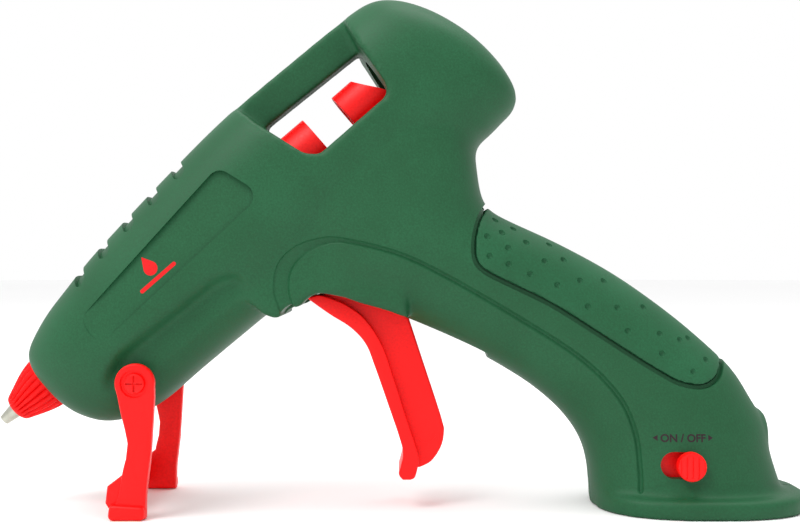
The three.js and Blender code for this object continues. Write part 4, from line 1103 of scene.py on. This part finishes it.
# ------------------------------------------------------------------ screws
# The stand's two pivots are red nylon screws with a cross in a flat head. The six housing screws are
# zinc-plated steel with pan heads, sunk in the right half.
def cross_head_screw(shaft, head, head_height, length, top, side, slot_width=0.28, slot_reach=0.62):
    """A screw across the gun, from the middle of its head's face inwards, with a cross sunk in the head."""
    dome = head_height * 0.5
    profile = [(0.0, 0.0), (0.0, head * 0.72), (dome * 0.4, head * 0.93), (dome, head), (head_height, head),
               (head_height, shaft), (length - 1.2, shaft), (length, shaft * 0.35), (length, 0.0)]
    screw = turned_form(profile, top, Vector((0.0, -side, 0.0)), HIGH, 48)
    depth = head_height * 0.55
    for turn in (0.0, 90.0):
        slot = block(top, (2 * slot_reach * head, 2 * depth, slot_width * head),
                     Matrix.Rotation(math.radians(turn), 4, "Y"))
        combine(screw, "DIFFERENCE", slot)
    return screw


red_nylon = tinted_plastic("moulded_red_nylon", "#f00606", "#e20303", "#fb100e", 0.38, 0.6, 0.015)
for name, side in (("left", -1), ("right", 1)):
    top = Vector((STAND_HUB.x, side * (LEG_OUTER + 0.35) * MM, STAND_HUB.z))
    screw = cross_head_screw(1.5, 2.75, 1.3, 10.5, top, side, 0.2, 0.8)
    finished(screw, f"stand_screw_{name}_cross", red_nylon, f"stand_screw_{name}", "housing")
HEAD_HEIGHT = 2.2
HEAD_TOP = SCREW_SEAT + FIT + HEAD_HEIGHT
for number, place in enumerate(SCREW_PLACES, 1):
    top = Vector((place.x, HEAD_TOP * MM, place.z))
    screw = cross_head_screw(SCREW_SHAFT, SCREW_HEAD, HEAD_HEIGHT, HEAD_TOP - SCREW_TIP, top, 1)
    node = f"housing_screw_{number}"
    finished(screw, node + "_pan_head", zinc_steel, node, "housing")

# ------------------------------------------------------------------ switch
# A red slider: a round ribbed knob in front of the slot, on a stem from the flat shutter that closes the slot
# from behind. It drives the black switch body on the inside.
KNOB_X, KNOB_HEIGHT, KNOB_PROUD, KNOB_RIBS, STEM_RADIUS = SWITCH_X + SWITCH_TRAVEL / 2, 2.5, 3.1, 5, 2.4
knob_place = side_place(KNOB_X, SWITCH_Z)
knob_top = Vector((knob_place.x, -(SWITCH_FACE + KNOB_PROUD) * MM, knob_place.z))
slider = turned_form([(0.0, 0.0), (0.0, KNOB_RADIUS - 0.7), (0.25, KNOB_RADIUS - 0.2), (0.7, KNOB_RADIUS),
                      (KNOB_HEIGHT, KNOB_RADIUS), (KNOB_HEIGHT, 0.0)], knob_top, FROM_LEFT, HIGH, 72)
rib_pitch = 2 * KNOB_RADIUS / KNOB_RIBS
for rib in range(KNOB_RIBS):
    centre = knob_top + Vector(((rib + 0.5 - KNOB_RIBS / 2) * rib_pitch * MM, 0.0, 0.0))
    combine(slider, "DIFFERENCE", block(centre, (rib_pitch * 0.34, 0.7, 5.6)))
shutter = [side_place(KNOB_X + x, SWITCH_Z + z)
           for x, z in ((-8.4, -4.8), (7.8, -4.8), (7.8, 4.8), (-8.4, 4.8))]
combine(slider, "UNION", cross_bar(knob_place, STEM_RADIUS, -SWITCH_FACE - 1, -SHUTTER_FACE - 0.5),
        slab(shutter, -SHUTTER_FACE - 1, -SHUTTER_FACE))
finished(slider, "switch_slider_ribbed", red_moulding, "switch_slider", "switch")
refinish(black_acetal, "switch_body")

# ------------------------------------------------------------------ cord inlet
# A moulded black rubber bush low on the back of the grip, held in a round hole between the halves, where the
# mains lead enters.
black_rubber = tinted_plastic("moulded_black_rubber", "#1d1d1d", "#171717", "#262626", 0.7, 0.4, 0.03)
bush = turned_form([(CORD_FROM, CORD_HOLE), (CORD_FROM, BUSH_RADIUS), (CORD_TO + BUSH_LIP, BUSH_RADIUS),
                    (CORD_TO + BUSH_LIP, CORD_HOLE)], cord_origin, EAST, HIGH, 64, 0.3)
finished(bush, "cord_inlet_bush", black_rubber, "cord_inlet_grommet", "housing")

# ------------------------------------------------------------------ table
# A wide matt white board under the gun. It is there only for the light and the shadow, and isn't part of
# the gun.
bm = bmesh.new()
bmesh.ops.create_circle(bm, cap_ends=True, radius=4.0, segments=96)
board = bpy.data.materials.new("matt_white_board")
board.use_nodes = True
table = new_object("table", bm, board)
shader = board.node_tree.nodes["Principled BSDF"]
shader.inputs["Roughness"].default_value = 0.9
paper = add_node(board, "ShaderNodeTexNoise", {"Scale": 8.0})
tone = add_node(board, "ShaderNodeMapRange", {"To Min": 0.93, "To Max": 0.97},
                {"Value": paper.outputs["Fac"]})
board.node_tree.links.new(tone.outputs["Result"], shader.inputs["Base Color"])
